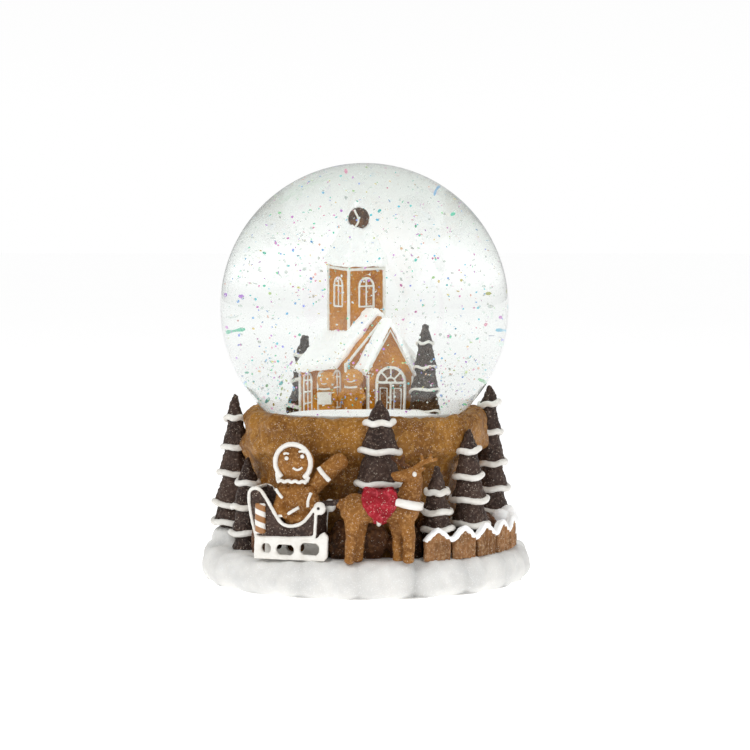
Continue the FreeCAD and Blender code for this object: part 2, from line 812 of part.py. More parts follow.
def in_sleigh(item, along, deep, height, turn=0.0):
    """Place an item in the sleigh's own turned frame, whose origin is under its middle."""
    angle = size("sleigh_turn")
    along = Size.of(along)
    deep = Size.of(deep)
    across_x = size("sleigh_x") + along * cosine(angle) - deep * sine(angle)
    across_y = along * sine(angle) + deep * cosine(angle) - size("drum_radius") - size("sleigh_gap")
    return place(item, x=across_x, y=across_y, z=snow_top + height, turn=angle + turn)


def make_sleigh():
    """Cast the sleigh: a hollowed body with high back and curled front, on two runner plates."""
    half = size("sleigh_length") / 2
    floor = size("sleigh_floor")
    back = size("sleigh_back_height")
    front = size("sleigh_front_height")
    waist = size("sleigh_waist_height")
    side = [(-half + 2, floor), (half - 1.5, floor), (half - 0.2, floor + 2), (half, front - 3),
            (half, front), (half - 2.4, front - 0.5), (half - 4.2, waist + 1.2), (half - 8, waist),
            (-half + 8.5, waist), (-half + 5, waist + 4.5), (-half + 2.2, back - 1.2), (-half, back),
            (-half - 1.4, back - 2.6), (-half - 0.6, floor + 6)]
    body = in_sleigh(slab("sleigh_side", side, size("sleigh_width")), 0, 0, 0)
    hollow = [(-half + 2.4, floor + 1.6), (half - 2.2, floor + 1.6), (half - 2.2, back + 4),
              (-half + 2.4, back + 4)]
    bay = in_sleigh(slab("sleigh_bay", hollow, size("sleigh_width") - 2.0), 0, 0, 0)
    tub = piece(cut("sleigh", body, bay), "sleigh_body")
    runner_side = [(-half + 0.6, 0.02), (half + 0.4, 0.02), (half + 2.6, size("runner_height") + 1.5),
                   (half + 1.4, size("runner_height") + 1.5), (half - 0.4, size("runner_height")),
                   (-half + 0.6, size("runner_height"))]
    reach = (size("sleigh_width") - size("runner_thickness")) / 2
    runners = []
    for name, deep in (("near", -reach), ("far", reach)):
        plate = slab("runner_" + name, runner_side, size("runner_thickness"))
        windows = []
        for number, share in enumerate((-0.62, 0.0, 0.58)):
            window = box("runner_window_%s_%d" % (name, number), half * 0.42, 4, size("runner_height") * 0.5,
                         x=half * share, z=size("runner_height") * 0.26)
            windows.append(window)
        opened = cut("runner_open_" + name, plate, fused("runner_windows_" + name, windows))
        runners.append(in_sleigh(opened, 0, deep, 0))
    return [tub, piece(fused("runners", runners), "sleigh_runners")]


def make_rider(sleigh):
    """Seat the gingerbread rider in the sleigh and stand the candy stick against the sleigh's near side."""
    floor = size("sleigh_floor") + 1.6
    body_tall = size("body_height")
    width = size("body_width") / 2
    seat = 1.0
    body_middle = floor + body_tall / 2 + 0.05
    torso = ellipsoid("rider_torso", width, size("body_thickness") / 2, body_tall / 2)
    in_sleigh(torso, seat, 0, body_middle)
    neck = floor + body_tall - 1.4
    head_thick = size("head_thickness")
    head = ellipsoid("rider_face", size("head_radius") + 0.5, head_thick, size("head_radius"))
    in_sleigh(head, seat - 0.6, 0.6, neck + size("head_radius"))
    body = cut("rider_body_cut", torso, head)
    piece(body, "rider_body")
    piece(head, "rider_head")
    reach = size("arm_length")
    shoulder = (seat + width * 0.62, 0.0, neck - 3.0)
    hand = (seat + width * 0.62 + reach * 0.72, 0.0, neck - 3.0 + reach * 0.66)
    arm = limb("rider_upper_arm", size("arm_radius"), size("arm_radius") * 1.1, shoulder, hand)
    palm = sphere("rider_palm", size("arm_radius") * 1.45, x=hand[0], y=hand[1], z=hand[2])
    whole = in_sleigh(fused("rider_arm_whole", [arm, palm]), 0, 0, 0)
    piece(cut("rider_arm_cut", whole, fused("rider_solid", [torso, head])), "rider_arm")
    candy = size("candy_radius")
    along = candy - size("sleigh_length") / 2
    across = -(size("sleigh_width") / 2 + candy * 0.55)
    stick = in_sleigh(cylinder("candy", candy, size("candy_height")), along, across, size("candy_foot"))
    piece(cut_all("candy_cut", stick, sleigh), "candy_stick")


# ---------------------------------------------------------------- reindeer

def make_reindeer():
    """Cast the reindeer, looking back at the sleigh, with its harness."""
    middle = size("deer_x")
    deep = -(size("drum_radius") + size("deer_gap"))
    half = size("deer_length") / 2
    thick = size("deer_body_radius")
    back = snow_top + size("deer_body_height")
    belly = back - thick * 0.4
    leg = size("deer_leg_radius")

    neck_top = belly + size("deer_neck_length")
    side = [(-half * 1.22, belly - thick * 0.3), (-half * 1.18, belly + thick * 0.6),
            (-half * 0.88, belly + thick * 1.05), (half * 0.1, belly + thick * 0.95),
            (half * 0.62, belly + thick * 1.1), (half * 0.80, neck_top), (half * 1.30, neck_top),
            (half * 1.25, belly + thick * 0.6), (half * 1.2, belly - thick * 0.3),
            (half * 0.9, belly - thick * 1.05), (-half * 0.85, belly - thick * 1.05)]
    trunk = place(slab("deer_trunk", side, thick * 1.8), x=middle, y=deep)
    legs = []
    for name, share, near in (("rear_near", -0.96, -1), ("rear_far", -0.62, 1),
                              ("front_near", 0.88, -1), ("front_far", 0.54, 1)):
        tall = belly - thick * 0.7 - snow_top - 0.02
        legs.append(box("deer_leg_" + name, leg * 1.9, leg * 1.9, tall, x=middle + half * share,
                        y=deep + leg * 1.05 * near, z=snow_top + 0.02))
    body = fused("deer_whole", [trunk] + legs)
    piece(body, "reindeer_body")

    head_x = middle + half * 0.98
    head_z = neck_top + 1.4
    skull = ellipsoid("deer_skull", size("deer_head_length") * 0.42, thick * 0.62, thick * 0.66,
                      x=head_x, y=deep - 0.2, z=head_z)
    snout = limb("deer_snout", thick * 0.46, thick * 0.38, (head_x, deep - 0.2, head_z),
                 (head_x - size("deer_head_length") * 0.66, deep - 0.4, head_z - 0.5))
    ear = ellipsoid("deer_ear", 1.9, 0.8, 1.0, x=head_x + 3.2, y=deep, z=head_z + 2.4)
    head = fused("deer_head_whole", [skull, snout, ear])
    piece(cut("deer_head_cut", head, body), "reindeer_head")

    bar = size("antler_radius")
    crown = head_z + thick * 0.5
    beams = []
    for name, sign, reach in (("left", -1.0, 7.6), ("right", 1.0, 9.0)):
        start = (head_x + sign * 0.9, deep, crown)
        bend = (head_x + sign * reach * 0.55, deep + 0.3, crown + 2.4)
        end = (head_x + sign * reach, deep + 0.6, crown + 4.6)
        beams.append(limb("antler_low_" + name, bar * 1.25, bar, start, bend))
        beams.append(sphere("antler_knee_" + name, bar * 1.02, x=bend[0], y=bend[1], z=bend[2]))
        beams.append(limb("antler_high_" + name, bar, bar * 0.7, bend, end))
        tine = (bend[0] + sign * 0.9, bend[1], bend[2] + 3.4)
        beams.append(limb("antler_tine_" + name, bar * 0.9, bar * 0.6, bend, tine))
    bridge = sphere("antler_bridge", bar * 1.9, x=head_x, y=deep, z=crown - 0.1)
    antlers = cut("antlers_cut", fused("antlers_whole", beams + [bridge]), fused("deer_all", [head, body]))
    piece(antlers, "reindeer_antlers")

    wrap = size("blanket_thickness")
    around = thick * 1.8 + wrap * 2
    patch = size("blanket_width") / 2
    drape = belly - thick * 0.6
    over = belly + thick + wrap
    heart = [(-patch * 0.35, drape), (patch * 0.35, drape), (patch, belly + thick * 0.3), (patch, over),
             (-patch, over), (-patch, belly + thick * 0.3)]
    cloth = place(slab("blanket_cloth", heart, around), x=middle + 0.2, y=deep)
    blanket = piece(cut("blanket", cloth, body), "saddle_blanket")

    low = belly - thick * 1.05 - wrap
    strap = box("girth_band", size("girth_width"), around, drape - low, x=middle + 0.4, y=deep, z=low)
    piece(cut("girth", strap, body), "girth_strap")

    neck_wrap = thick * 1.8 + size("collar_thickness") * 2
    ring = box("collar_ring", half * 0.86, neck_wrap, thick * 0.68, x=middle + half * 0.93, y=deep,
               z=belly + thick * 0.08)
    piece(cut_all("collar", ring, [body, head, blanket]), "harness_collar")

    rear = (middle - half * 1.16, deep + 0.6, belly + 2.2)
    tip = (middle - half * 1.78, deep + 2.2, belly + 1.2)
    pole = limb("pole", size("pole_radius"), size("pole_radius"), rear, tip)
    knob = sphere("pole_knob", size("pole_radius") * 1.5, x=rear[0], y=rear[1], z=rear[2])
    piece(cut("pole_cut", fused("pole_whole", [pole, knob]), body), "harness_pole")


# ---------------------------------------------------------------- floor of the bay, pads and screws

def make_floor():
    """Cut the bottom cover, its screws and the rest pads."""
    thickness = size("floor_thickness")
    low = ledge_height - thickness
    disc = cylinder("floor_disc", size("recess_radius") - 0.3, thickness, z=low)
    key_hole = cylinder("key_hole", size("arbor_radius") + 1.2, thickness + 2, x=-size("key_offset"), z=low - 1)
    holes = [key_hole]
    screws = []
    for number in range(4):
        angle = 45.0 + 90.0 * number
        across = size("floor_screw_ring") * cosine(angle)
        deep = size("floor_screw_ring") * sine(angle)
        holes.append(cylinder("floor_clearance_%d" % number, size("floor_screw_radius"), thickness + 2,
                              x=across, y=deep, z=low - 1))
        screws.append(screw("floor_screw_%d" % number, size("floor_screw_radius"), thickness + 4,
                            across, deep, low))
    for number, (along, deep) in enumerate(bedplate_screw_places()):
        holes.append(cylinder("bed_clearance_%d" % number, size("floor_screw_radius"), thickness + 2,
                              x=along, y=deep, z=low - 1))
    piece(cut("floor", disc, fused("floor_openings", holes)), "bottom_cover")
    piece(group("floor_screws", screws), "cover_screws")
    pads = []
    for number in range(4):
        angle = 45.0 + 90.0 * number
        pads.append(cylinder("rest_pad_%d" % number, size("pad_radius"), size("pad_height"),
                             x=size("pad_ring") * cosine(angle), y=size("pad_ring") * sine(angle)))
    piece(group("pads", pads), "rest_pads")


def bedplate_screw_places():
    """The three screws that hold the movement to the bottom cover."""
    along = size("bedplate_length") / 2 - 3
    deep = size("bedplate_width") / 2 - 3
    return [(along, deep), (along, -deep), (-along * 0.45, deep)]


def screw(name, radius, length, across, deep, head_height):
    """A pan-head screw pointing up, its head under the given height."""
    shank = cylinder(name + "_shank", radius, length, x=across, y=deep, z=head_height)
    head = cylinder(name + "_head", radius * 1.9, radius * 1.2, x=across, y=deep,
                    z=head_height - radius * 1.2)
    slot = box(name + "_slot", radius * 4, radius * 0.4, radius * 0.6, x=across, y=deep,
               z=head_height - radius * 1.2)
    return cut(name, fused(name + "_blank", [shank, head]), slot)


# ---------------------------------------------------------------- wind-up musical movement

bed_bottom = ledge_height
bed_top = bed_bottom + size("bedplate_thickness")
key_x = -size("key_offset")
barrel_low = bed_top + 0.4
barrel_high = barrel_low + size("drum_spring_height")
crown_high = barrel_high + size("crown_tooth_height")
axis_height = crown_high + size("cylinder_pinion_radius") - 0.9
pinion_x = key_x + size("drum_spring_radius") - 1.4
cylinder_start = pinion_x + 3.6
cylinder_end = cylinder_start + size("cylinder_length")
wheel_x = cylinder_end + 1.3
governor_x = wheel_x + 2.0
governor_y = size("cylinder_wheel_radius") + size("governor_pinion_radius") - size("mesh_depth")
fan_y = governor_y + size("governor_wheel_radius") + size("worm_radius") - 0.45
comb_edge = size("cylinder_radius") + size("pin_height") + 0.1


def make_key():
    """Turn the winding arbor and cut the butterfly key."""
    radius = size("arbor_radius")
    key_low = base_bottom + 1.8
    hub_high = key_low + size("key_height")
    arbor_low = key_low + 1.0
    arbor = cylinder("arbor", radius, barrel_high + 0.8 - arbor_low, x=key_x, z=arbor_low)
    piece(arbor, "key_arbor")
    half = size("key_span") / 2
    tall = size("key_height")
    wing = [(-half + 1.5, 0), (half - 1.5, 0), (half, tall * 0.2), (half, tall * 0.8), (half - 1.5, tall),
            (5, tall * 0.78), (-5, tall * 0.78), (-half + 1.5, tall), (-half, tall * 0.8), (-half, tall * 0.2)]
    wings = slab("key_wings", wing, size("key_thickness"), x=key_x, z=key_low)
    hub = cylinder("key_hub", radius + 1.5, hub_high - key_low, x=key_x, z=key_low)
    bore = cylinder("key_bore", radius, hub_high, x=key_x, z=arbor_low)
    piece(cut("key", fused("key_blank", [wings, hub]), bore), "winding_key")


def make_barrel():
    """Build the spring drum with its crown wheel, and coil the mainspring inside it."""
    outer = size("drum_spring_radius")
    wall = size("drum_spring_wall")
    height = size("drum_spring_height")
    drum = cylinder("spring_drum_blank", outer, height, x=key_x, z=barrel_low)
    hollow = cylinder("spring_drum_hollow", outer - wall, height - wall * 2, x=key_x, z=barrel_low + wall)
    bore = cylinder("spring_drum_bore", size("arbor_radius") + size("running_gap"), height + 4,
                    x=key_x, z=barrel_low - 1)
    shell = cut("spring_drum_shell", drum, fused("spring_drum_inside", [hollow, bore]))
    teeth = []
    count = size("crown_teeth")
    middle = outer - 1.2
    width = 2 * math.pi * middle * 0.3 / count
    for number in range(int(count.value)):
        angle = 360.0 / count * (number + 0.5)
        tooth = primitive("Box", "crown_tooth_%d" % number,
                          {"Length": 2.2, "Width": width, "Height": size("crown_tooth_height") + 0.2})
        reach = outer - 2.3
        place(tooth, x=key_x + reach * cosine(angle) + width / 2 * sine(angle),
              y=reach * sine(angle) - width / 2 * cosine(angle), z=barrel_high - 0.2, turn=angle)
        teeth.append(tooth)
    piece(fused("spring_drum", [shell] + teeth), "spring_drum")

    turns = 4
    steps = 24
    start = size("arbor_radius").value + 1.0
    end = (outer - wall).value - 0.5
    strip = 0.35
    inner_edge = []
    outer_edge = []
    for step in range(turns * steps + 1):
        angle = 2 * math.pi * step / steps
        reach = start + (end - start) * step / (turns * steps)
        direction = Vector(math.cos(angle), math.sin(angle), 0)
        inner_edge.append(direction * reach)
        outer_edge.append(direction * (reach + strip))
    ribbon = Part.makePolygon(inner_edge + outer_edge[::-1] + inner_edge[:1])
    spring = doc.addObject("Part::Feature", "mainspring_strip")
    spring_height = (height - wall * 2).value - 0.4
    spring.Shape = Part.Face(ribbon).extrude(Z_AXIS * spring_height)
    place(spring, x=key_x, z=barrel_low + wall + 0.2)
    piece(spring, "mainspring")


def across_wheel(name, root_gap, tip_radius, thickness, teeth, share, x, y):
    """A toothed wheel whose axis lies along X at the movement's axis height."""
    return toothed_wheel(name, Size.of(tip_radius) - root_gap, tip_radius, thickness, teeth, share,
                         x=x, y=y, z=axis_height, turn=90.0, axis=Y_AXIS)


def across_bar(name, radius, x_from, x_to, y=0.0):
    """A round bar lying along X at the movement's axis height."""
    return cylinder(name, radius, x_to - x_from, x=x_from, y=y, z=axis_height, turn=90.0, axis=Y_AXIS)


def make_cylinder():
    """Build the pinned tune cylinder with its driving pinion and its governor wheel."""
    shaft = across_bar("cylinder_shaft", size("shaft_radius"), pinion_x - 1.2, wheel_x + 2.2)
    barrel = across_bar("cylinder_barrel", size("cylinder_radius"), cylinder_start, cylinder_end)
    hub = across_bar("cylinder_hub", size("shaft_radius") + 1.1, cylinder_end - 0.2, wheel_x)
    depth = size("tooth_depth")
    pinion = across_wheel("cylinder_pinion", depth * 1.5, size("cylinder_pinion_radius"), 1.6,
                          size("cylinder_pinion_teeth"), 0.3, pinion_x, 0)
    wheel = across_wheel("cylinder_wheel", depth, size("cylinder_wheel_radius"), 1.2,
                         size("cylinder_wheel_teeth"), 0.34, wheel_x, 0)
    pins = []
    tines = int(SIZES["comb_tines"])
    pitch = (size("cylinder_length") - 1.4) / tines
    for number in range(tines):
        angle = 137.5 * number
        pin = cylinder("tune_pin_%d" % number, 0.16, size("cylinder_radius") + size("pin_height"),
                       turn=-angle, axis=X_AXIS)
        pins.append(place(pin, x=cylinder_start + 0.7 + pitch * (number + 0.5), z=axis_height,
                          turn=-angle, axis=X_AXIS))
    piece(fused("tune_cylinder_whole", [shaft, barrel, hub, pinion, wheel] + pins), "tune_cylinder")


def make_comb():
    """Cut the comb's tines, and fasten it to its block with two screws."""
    wide = size("cylinder_length") - 1.4
    deep = size("comb_reach")
    plate_low = axis_height - 0.3
    plate = box("comb_plate", wide, deep, 0.6, x=cylinder_start + 0.7 + wide / 2,
                y=-comb_edge - deep / 2, z=plate_low)
    tines = int(SIZES["comb_tines"])
    slots = []
    for number in range(1, tines):
        slots.append(box("comb_slot_%d" % number, 0.2, deep * 0.6, 2, x=cylinder_start + 0.7 +
                         wide * (number / tines), y=-comb_edge - deep * 0.25, z=plate_low - 0.7))
    screws = []
    holes = []
    for number, share in enumerate((0.22, 0.78)):
        across = cylinder_start + 0.7 + wide * share
        deep_at = -comb_edge - deep * 0.8
        holes.append(cylinder("comb_hole_%d" % number, 0.8, 4, x=across, y=deep_at, z=plate_low - 1))
        shank = cylinder("comb_shank_%d" % number, 0.8, 3.6, x=across, y=deep_at, z=plate_low - 3)
        head = cylinder("comb_head_%d" % number, 1.5, 0.9, x=across, y=deep_at, z=plate_low + 0.6)
        screws.append(fused("comb_screw_%d" % number, [shank, head]))
    piece(cut("comb", plate, fused("comb_openings", slots + holes)), "tone_comb")
    piece(group("comb_screws_all", screws), "comb_screws")
    return screws


def make_bedplate(comb_screws):
    """Cast the bedplate with its bearing posts, comb block and fan bracket."""
    wide = size("bedplate_width")
    plate = box("bed", size("bedplate_length"), wide, size("bedplate_thickness"), z=bed_bottom)
    thick = size("post_thickness")
    post_height = axis_height + 2 - bed_bottom
    left_x = pinion_x + 2.2
    right_x = wheel_x + 1.6
    solids = [plate]
    solids.append(box("post_left", thick, 5, post_height, x=left_x, z=bed_bottom))
    solids.append(box("post_right", thick, 5, post_height, x=right_x, z=bed_bottom))
    solids.append(box("governor_post_in", thick, 3, post_height, x=wheel_x - 1.7, y=governor_y, z=bed_bottom))
    solids.append(box("governor_post_out", thick, 3, post_height, x=governor_x + 1.5, y=governor_y,
                      z=bed_bottom))
    block_deep = size("comb_reach") * 0.42
    block_y = -comb_edge - size("comb_reach") + block_deep / 2
    solids.append(box("comb_block", size("cylinder_length") - 1.4, block_deep, axis_height - 0.3 - bed_bottom,
                      x=cylinder_start + 0.7 + (size("cylinder_length") - 1.4) / 2, y=block_y, z=bed_bottom))
    fan_post_x = governor_x - 3.4
    solids.append(box("fan_post", 2, 2, axis_height + 3.4 - bed_bottom, x=fan_post_x, y=fan_y, z=bed_bottom))
    solids.append(box("fan_arm", 4.6, 2, 1, x=fan_post_x + 2.2, y=fan_y, z=axis_height + 2.4))
    gap = size("running_gap")
    bores = [
        across_bar("bore_cylinder", size("shaft_radius") + gap, left_x - 2, right_x + 2),
        across_bar("bore_governor", size("shaft_radius") * 0.7 + gap, wheel_x - 3, governor_x + 3, governor_y),
        cylinder("bore_fan", size("shaft_radius") * 0.6 + gap, 24, x=governor_x, y=fan_y, z=bed_top - 1),
        cylinder("bore_arbor", size("arbor_radius") + gap, 12, x=key_x, z=bed_bottom - 1),
    ]
    screws = []
    for number, (along, deep) in enumerate(bedplate_screw_places()):
        bores.append(cylinder("bed_hole_%d" % number, size("floor_screw_radius"), 12, x=along, y=deep,
                              z=bed_bottom - 1))
        length = size("floor_thickness") + size("bedplate_thickness")
        screws.append(screw("movement_screw_%d" % number, size("floor_screw_radius"), length, along, deep,
                            ledge_height - size("floor_thickness")))
    piece(cut("bedplate", fused("bedplate_blank", solids), fused("bedplate_bores", bores + comb_screws)),
          "movement_bedplate")
    piece(group("movement_screws_all", screws), "movement_screws")


def worm_thread(name, radius, core, lead, height, first_angle):
    """A helical ridge of triangular section round Z, closed at both ends."""
    steps = 16
    total = int(round(height / lead * steps))
    sections = []
    half = lead / 4 * 0.42
    for step in range(total + 1):
        angle = first_angle + 2 * math.pi * step / steps
        rise = lead * step / steps
        direction = Vector(math.cos(angle), math.sin(angle), 0)
        sections.append((direction * core + Z_AXIS * (rise - half * 1.7), direction * radius + Z_AXIS * rise,
                         direction * core + Z_AXIS * (rise + half * 1.7)))
    faces = []
    for low, high in zip(sections, sections[1:]):
        for index in range(3):
            corner = (index + 1) % 3
            for triangle in ((low[index], low[corner], high[corner]), (low[index], high[corner], high[index])):
                faces.append(Part.Face(Part.makePolygon(list(triangle) + [triangle[0]])))
    for end in (sections[0], sections[-1]):
        faces.append(Part.Face(Part.makePolygon(list(end) + [end[0]])))
    solid = Part.Solid(Part.makeShell(faces))
    if solid.Volume < 0:
        solid.reverse()
    ridge = doc.addObject("Part::Feature", name)
    ridge.Shape = solid
    return ridge


def make_governor():
    """Build the governor wheel and the fan that its worm spins."""
    shaft_radius = size("shaft_radius") * 0.7
    shaft = across_bar("governor_shaft", shaft_radius, wheel_x - 2.2, governor_x + 2.0, governor_y)
    depth = size("tooth_depth")
    pinion = across_wheel("governor_pinion", depth, size("governor_pinion_radius"), 1.6,
                          size("governor_pinion_teeth"), 0.34, wheel_x, governor_y)
    wheel = across_wheel("governor_toothed", 0.55, size("governor_wheel_radius"), 0.9,
                         size("governor_wheel_teeth"), 0.36, governor_x, governor_y)
    piece(fused("governor_wheel_whole", [shaft, pinion, wheel]), "governor_wheel")

    pitch_radius = size("governor_wheel_radius").value - 0.25
    starts = size("worm_starts").value
    lead = 2 * math.pi * pitch_radius / size("governor_wheel_teeth").value * starts
    core_radius = size("worm_radius") - 0.55
    thread_height = lead * 2
    ridges = []
    for number in range(int(starts)):
        wanted = -math.pi / 2
        first = wanted + math.pi - 2 * math.pi * number / starts + math.pi / starts
        ridge = worm_thread("worm_ridge_%d" % number, size("worm_radius").value, core_radius.value - 0.1, lead,
                            thread_height, first)
        place(ridge, x=governor_x, y=fan_y, z=axis_height - thread_height / 2)
        ridges.append(ridge)
    spindle_radius = size("shaft_radius") * 0.6
    top = axis_height + 4.2
    spindle = cylinder("fan_spindle", spindle_radius, top - bed_top - 0.1 + size("fan_height"), x=governor_x,
                       y=fan_y, z=bed_top + 0.1 - 0.8)
    core = cylinder("worm_core", core_radius, thread_height + 0.8, x=governor_x, y=fan_y,
                    z=axis_height - thread_height / 2 - 0.5)
    blades = box("fan_blades", size("fan_radius") * 2, 0.3, size("fan_height"), x=governor_x, y=fan_y,
                 z=axis_height + 3.8)
    piece(fused("fan_whole", ridges + [spindle, core, blades]), "governor_fan")


# ---------------------------------------------------------------- the whole globe

def check_objects():
    """Stop if any object failed to compute or any piece is not a sound solid."""
    for item in doc.Objects:
        if "Invalid" in item.State or "Error" in item.State:
            raise RuntimeError("%s did not compute: %s" % (item.Name, item.State))
    for item in PIECES:
        if item.Shape.isNull() or not item.Shape.isValid() or not item.Shape.Solids:
            raise RuntimeError("%s has no sound shape" % item.Label)


def main():
    """Build every piece, check it and write it to its own STEP file."""
    make_globe()
    make_stopper()
    church = make_church()
    contents = [make_ground(), make_settled_snow()] + church + make_inner_trees(church) + make_couple()
    make_water(contents)
    make_drum()
    make_scenery(make_snow_base())
    make_fence()
    make_rider(make_sleigh())
    make_reindeer()
    make_floor()
    make_key()
    make_barrel()
    make_cylinder()
    make_bedplate(make_comb())
    make_governor()
    doc.recompute()
    check_objects()
    os.makedirs("parts", exist_ok=True)
    for item in PIECES:
        item.Shape.exportStep(os.path.join("parts", item.Label + ".step"))
        solids = item.Shape.Solids
        print("%-22s %2d solids %10.1f mm3" % (item.Label, len(solids), sum(s.Volume for s in solids)))


main()
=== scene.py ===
"""Looks for a musical gingerbread snow globe, built round its fixed frame.

Every piece is modelled in metres in the frame's own axes: +Z up, the front towards -Y.  Sizes given
in the classes are millimetres and pass through MM once, where a mesh is made.
"""
import logging
import math
import random
from dataclasses import dataclass, field
from enum import Enum
from typing import Callable, Iterable, NamedTuple, Optional, Sequence

import bmesh
import bpy
from mathutils import Matrix, Vector


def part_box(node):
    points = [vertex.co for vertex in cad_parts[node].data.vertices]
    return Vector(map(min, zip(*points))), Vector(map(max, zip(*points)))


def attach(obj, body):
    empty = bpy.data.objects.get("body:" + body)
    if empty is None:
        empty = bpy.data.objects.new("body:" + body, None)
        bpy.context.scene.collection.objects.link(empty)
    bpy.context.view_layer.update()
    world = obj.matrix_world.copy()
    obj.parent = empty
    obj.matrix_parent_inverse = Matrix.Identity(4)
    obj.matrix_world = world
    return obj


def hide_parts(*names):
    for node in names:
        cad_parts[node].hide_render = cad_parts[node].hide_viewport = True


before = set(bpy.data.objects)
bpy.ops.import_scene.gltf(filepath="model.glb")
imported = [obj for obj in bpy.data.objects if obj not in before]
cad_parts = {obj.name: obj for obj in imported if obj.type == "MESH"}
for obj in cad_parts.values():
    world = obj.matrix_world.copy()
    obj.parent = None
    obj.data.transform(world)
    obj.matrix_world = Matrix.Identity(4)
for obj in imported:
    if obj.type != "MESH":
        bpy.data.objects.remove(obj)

LOG = logging.getLogger("snow_globe")
MM = 0.001
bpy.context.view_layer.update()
BODY = "globe_and_base"
# a flake is a six-sided film; a hue past every film colour marks the pale ones
FLAKE_FACES = 8
PALE_HUE = 1.5
# how close two points merge, in metres: in a modelled piece, and in a copy of a frame node
DOUBLES = 0.000005
NODE_DOUBLES = 0.000002
Point = tuple[float, float, float]
Colour = tuple[float, float, float]


# ---------------------------------------------------------------- shader maths

class Wire:
    """A shader socket that builds Math nodes when it is used in an expression."""

    def __init__(self, tree: bpy.types.NodeTree, socket: bpy.types.NodeSocket) -> None:
        """Keep the node tree and the output socket."""
        self.tree = tree
        self.socket = socket

    def math(self, operation: str, *others: "Wire | float", clamp: bool = False) -> "Wire":
        """Add a Math node that works on this socket and others.

        Args:
            operation: The Math node's operation.
            others: The other inputs, as wires or numbers.
            clamp: Whether the result is kept between 0 and 1.

        Returns:
            The node's result.
        """
        node = self.tree.nodes.new("ShaderNodeMath")
        node.operation = operation
        node.use_clamp = clamp
        for index, value in enumerate((self, *others)):
            if isinstance(value, Wire):
                self.tree.links.new(value.socket, node.inputs[index])
            else:
                node.inputs[index].default_value = value
        return Wire(self.tree, node.outputs[0])

    def __add__(self, other: "Wire | float") -> "Wire":
        """Add."""
        return self.math("ADD", other)

    def __radd__(self, other: float) -> "Wire":
        """Add to a number."""
        return self.math("ADD", other)

    def __sub__(self, other: "Wire | float") -> "Wire":
        """Subtract."""
        return self.math("SUBTRACT", other)

    def __rsub__(self, other: float) -> "Wire":
        """Subtract from a number."""
        return (self * -1.0) + other

    def __mul__(self, other: "Wire | float") -> "Wire":
        """Multiply."""
        return self.math("MULTIPLY", other)

    def __rmul__(self, other: float) -> "Wire":
        """Multiply a number."""
        return self.math("MULTIPLY", other)

    def over(self, edge: float, width: float = 0.02) -> "Wire":
        """Return a soft step from 0 to 1 where the value passes an edge."""
        return self.math("SUBTRACT", edge - width / 2).math("DIVIDE", width, clamp=True)


class Palette:
    """Builds one material's node tree."""

    def __init__(self, name: str) -> None:
        """Start a material with only its output node."""
        self.material = bpy.data.materials.new(name)
        self.material.use_nodes = True
        self.tree = self.material.node_tree
        self.tree.nodes.clear()
        self.output = self.tree.nodes.new("ShaderNodeOutputMaterial")
        self.place = self.node("ShaderNodeTexCoord").outputs["Object"]

    def node(self, kind: str, settings: Optional[dict] = None, **sockets: object) -> bpy.types.Node:
        """Add a node.

        Args:
            kind: The node's type.
            settings: Its settings, set before its sockets; "stops" fills a colour ramp.
            sockets: Values or links by socket name, with spaces written as underscores.

        Returns:
            The node.
        """
        node = self.tree.nodes.new(kind)
        for key, value in (settings or {}).items():
            if key == "stops":
                self.fill_ramp(node, value)
            else:
                setattr(node, key, value)
        for key, value in sockets.items():
            target = node.inputs[key.replace("_", " ")]
            self.feed(target, value)
        return node

    def feed(self, target: bpy.types.NodeSocket, value: object) -> None:
        """Link or set one socket."""
        if isinstance(value, Wire):
            value = value.socket
        if isinstance(value, bpy.types.NodeSocket):
            self.tree.links.new(value, target)
        elif isinstance(value, tuple) and len(value) == 3 and target.type == "RGBA":
            target.default_value = (*value, 1.0)
        else:
            target.default_value = value

    @staticmethod
    def fill_ramp(node: bpy.types.Node, stops: Sequence[tuple[float, Colour]]) -> None:
        """Give a colour ramp its stops."""
        elements = node.color_ramp.elements
        while len(elements) < len(stops):
            elements.new(0.5)
        for element, (position, colour) in zip(elements, stops):
            element.position = position
            element.color = (*colour, 1.0)

    def noise(self, scale: float, detail: float = 4.0, rough: float = 0.55) -> Wire:
        """Return a noise value that follows the object."""
        node = self.node("ShaderNodeTexNoise", Vector=self.place, Scale=scale, Detail=detail, Roughness=rough)
        return Wire(self.tree, node.outputs["Fac"])

    def cells(self, scale: float, output: str = "Distance") -> Wire:
        """Return a cell pattern that follows the object."""
        node = self.node("ShaderNodeTexVoronoi", None, Vector=self.place, Scale=scale)
        return Wire(self.tree, node.outputs[output])

    def blend(self, mask: Wire, first: object, second: object) -> Wire:
        """Mix two colours by a mask."""
        node = self.node("ShaderNodeMix", {"data_type": "RGBA"})
        self.feed(node.inputs[0], mask)
        self.feed(node.inputs[6], first)
        self.feed(node.inputs[7], second)
        return Wire(self.tree, node.outputs[2])

    def bump(self, height: Wire, strength: float, distance: float) -> Wire:
        """Return a normal bumped by a height."""
        node = self.node("ShaderNodeBump", Height=height, Strength=strength, Distance=distance)
        return Wire(self.tree, node.outputs["Normal"])

    def finish(self, **sockets: object) -> bpy.types.Material:
        """Feed a Principled shader and return the material."""
        shader = self.node("ShaderNodeBsdfPrincipled", None, **sockets)
        self.tree.links.new(shader.outputs[0], self.output.inputs[0])
        return self.material


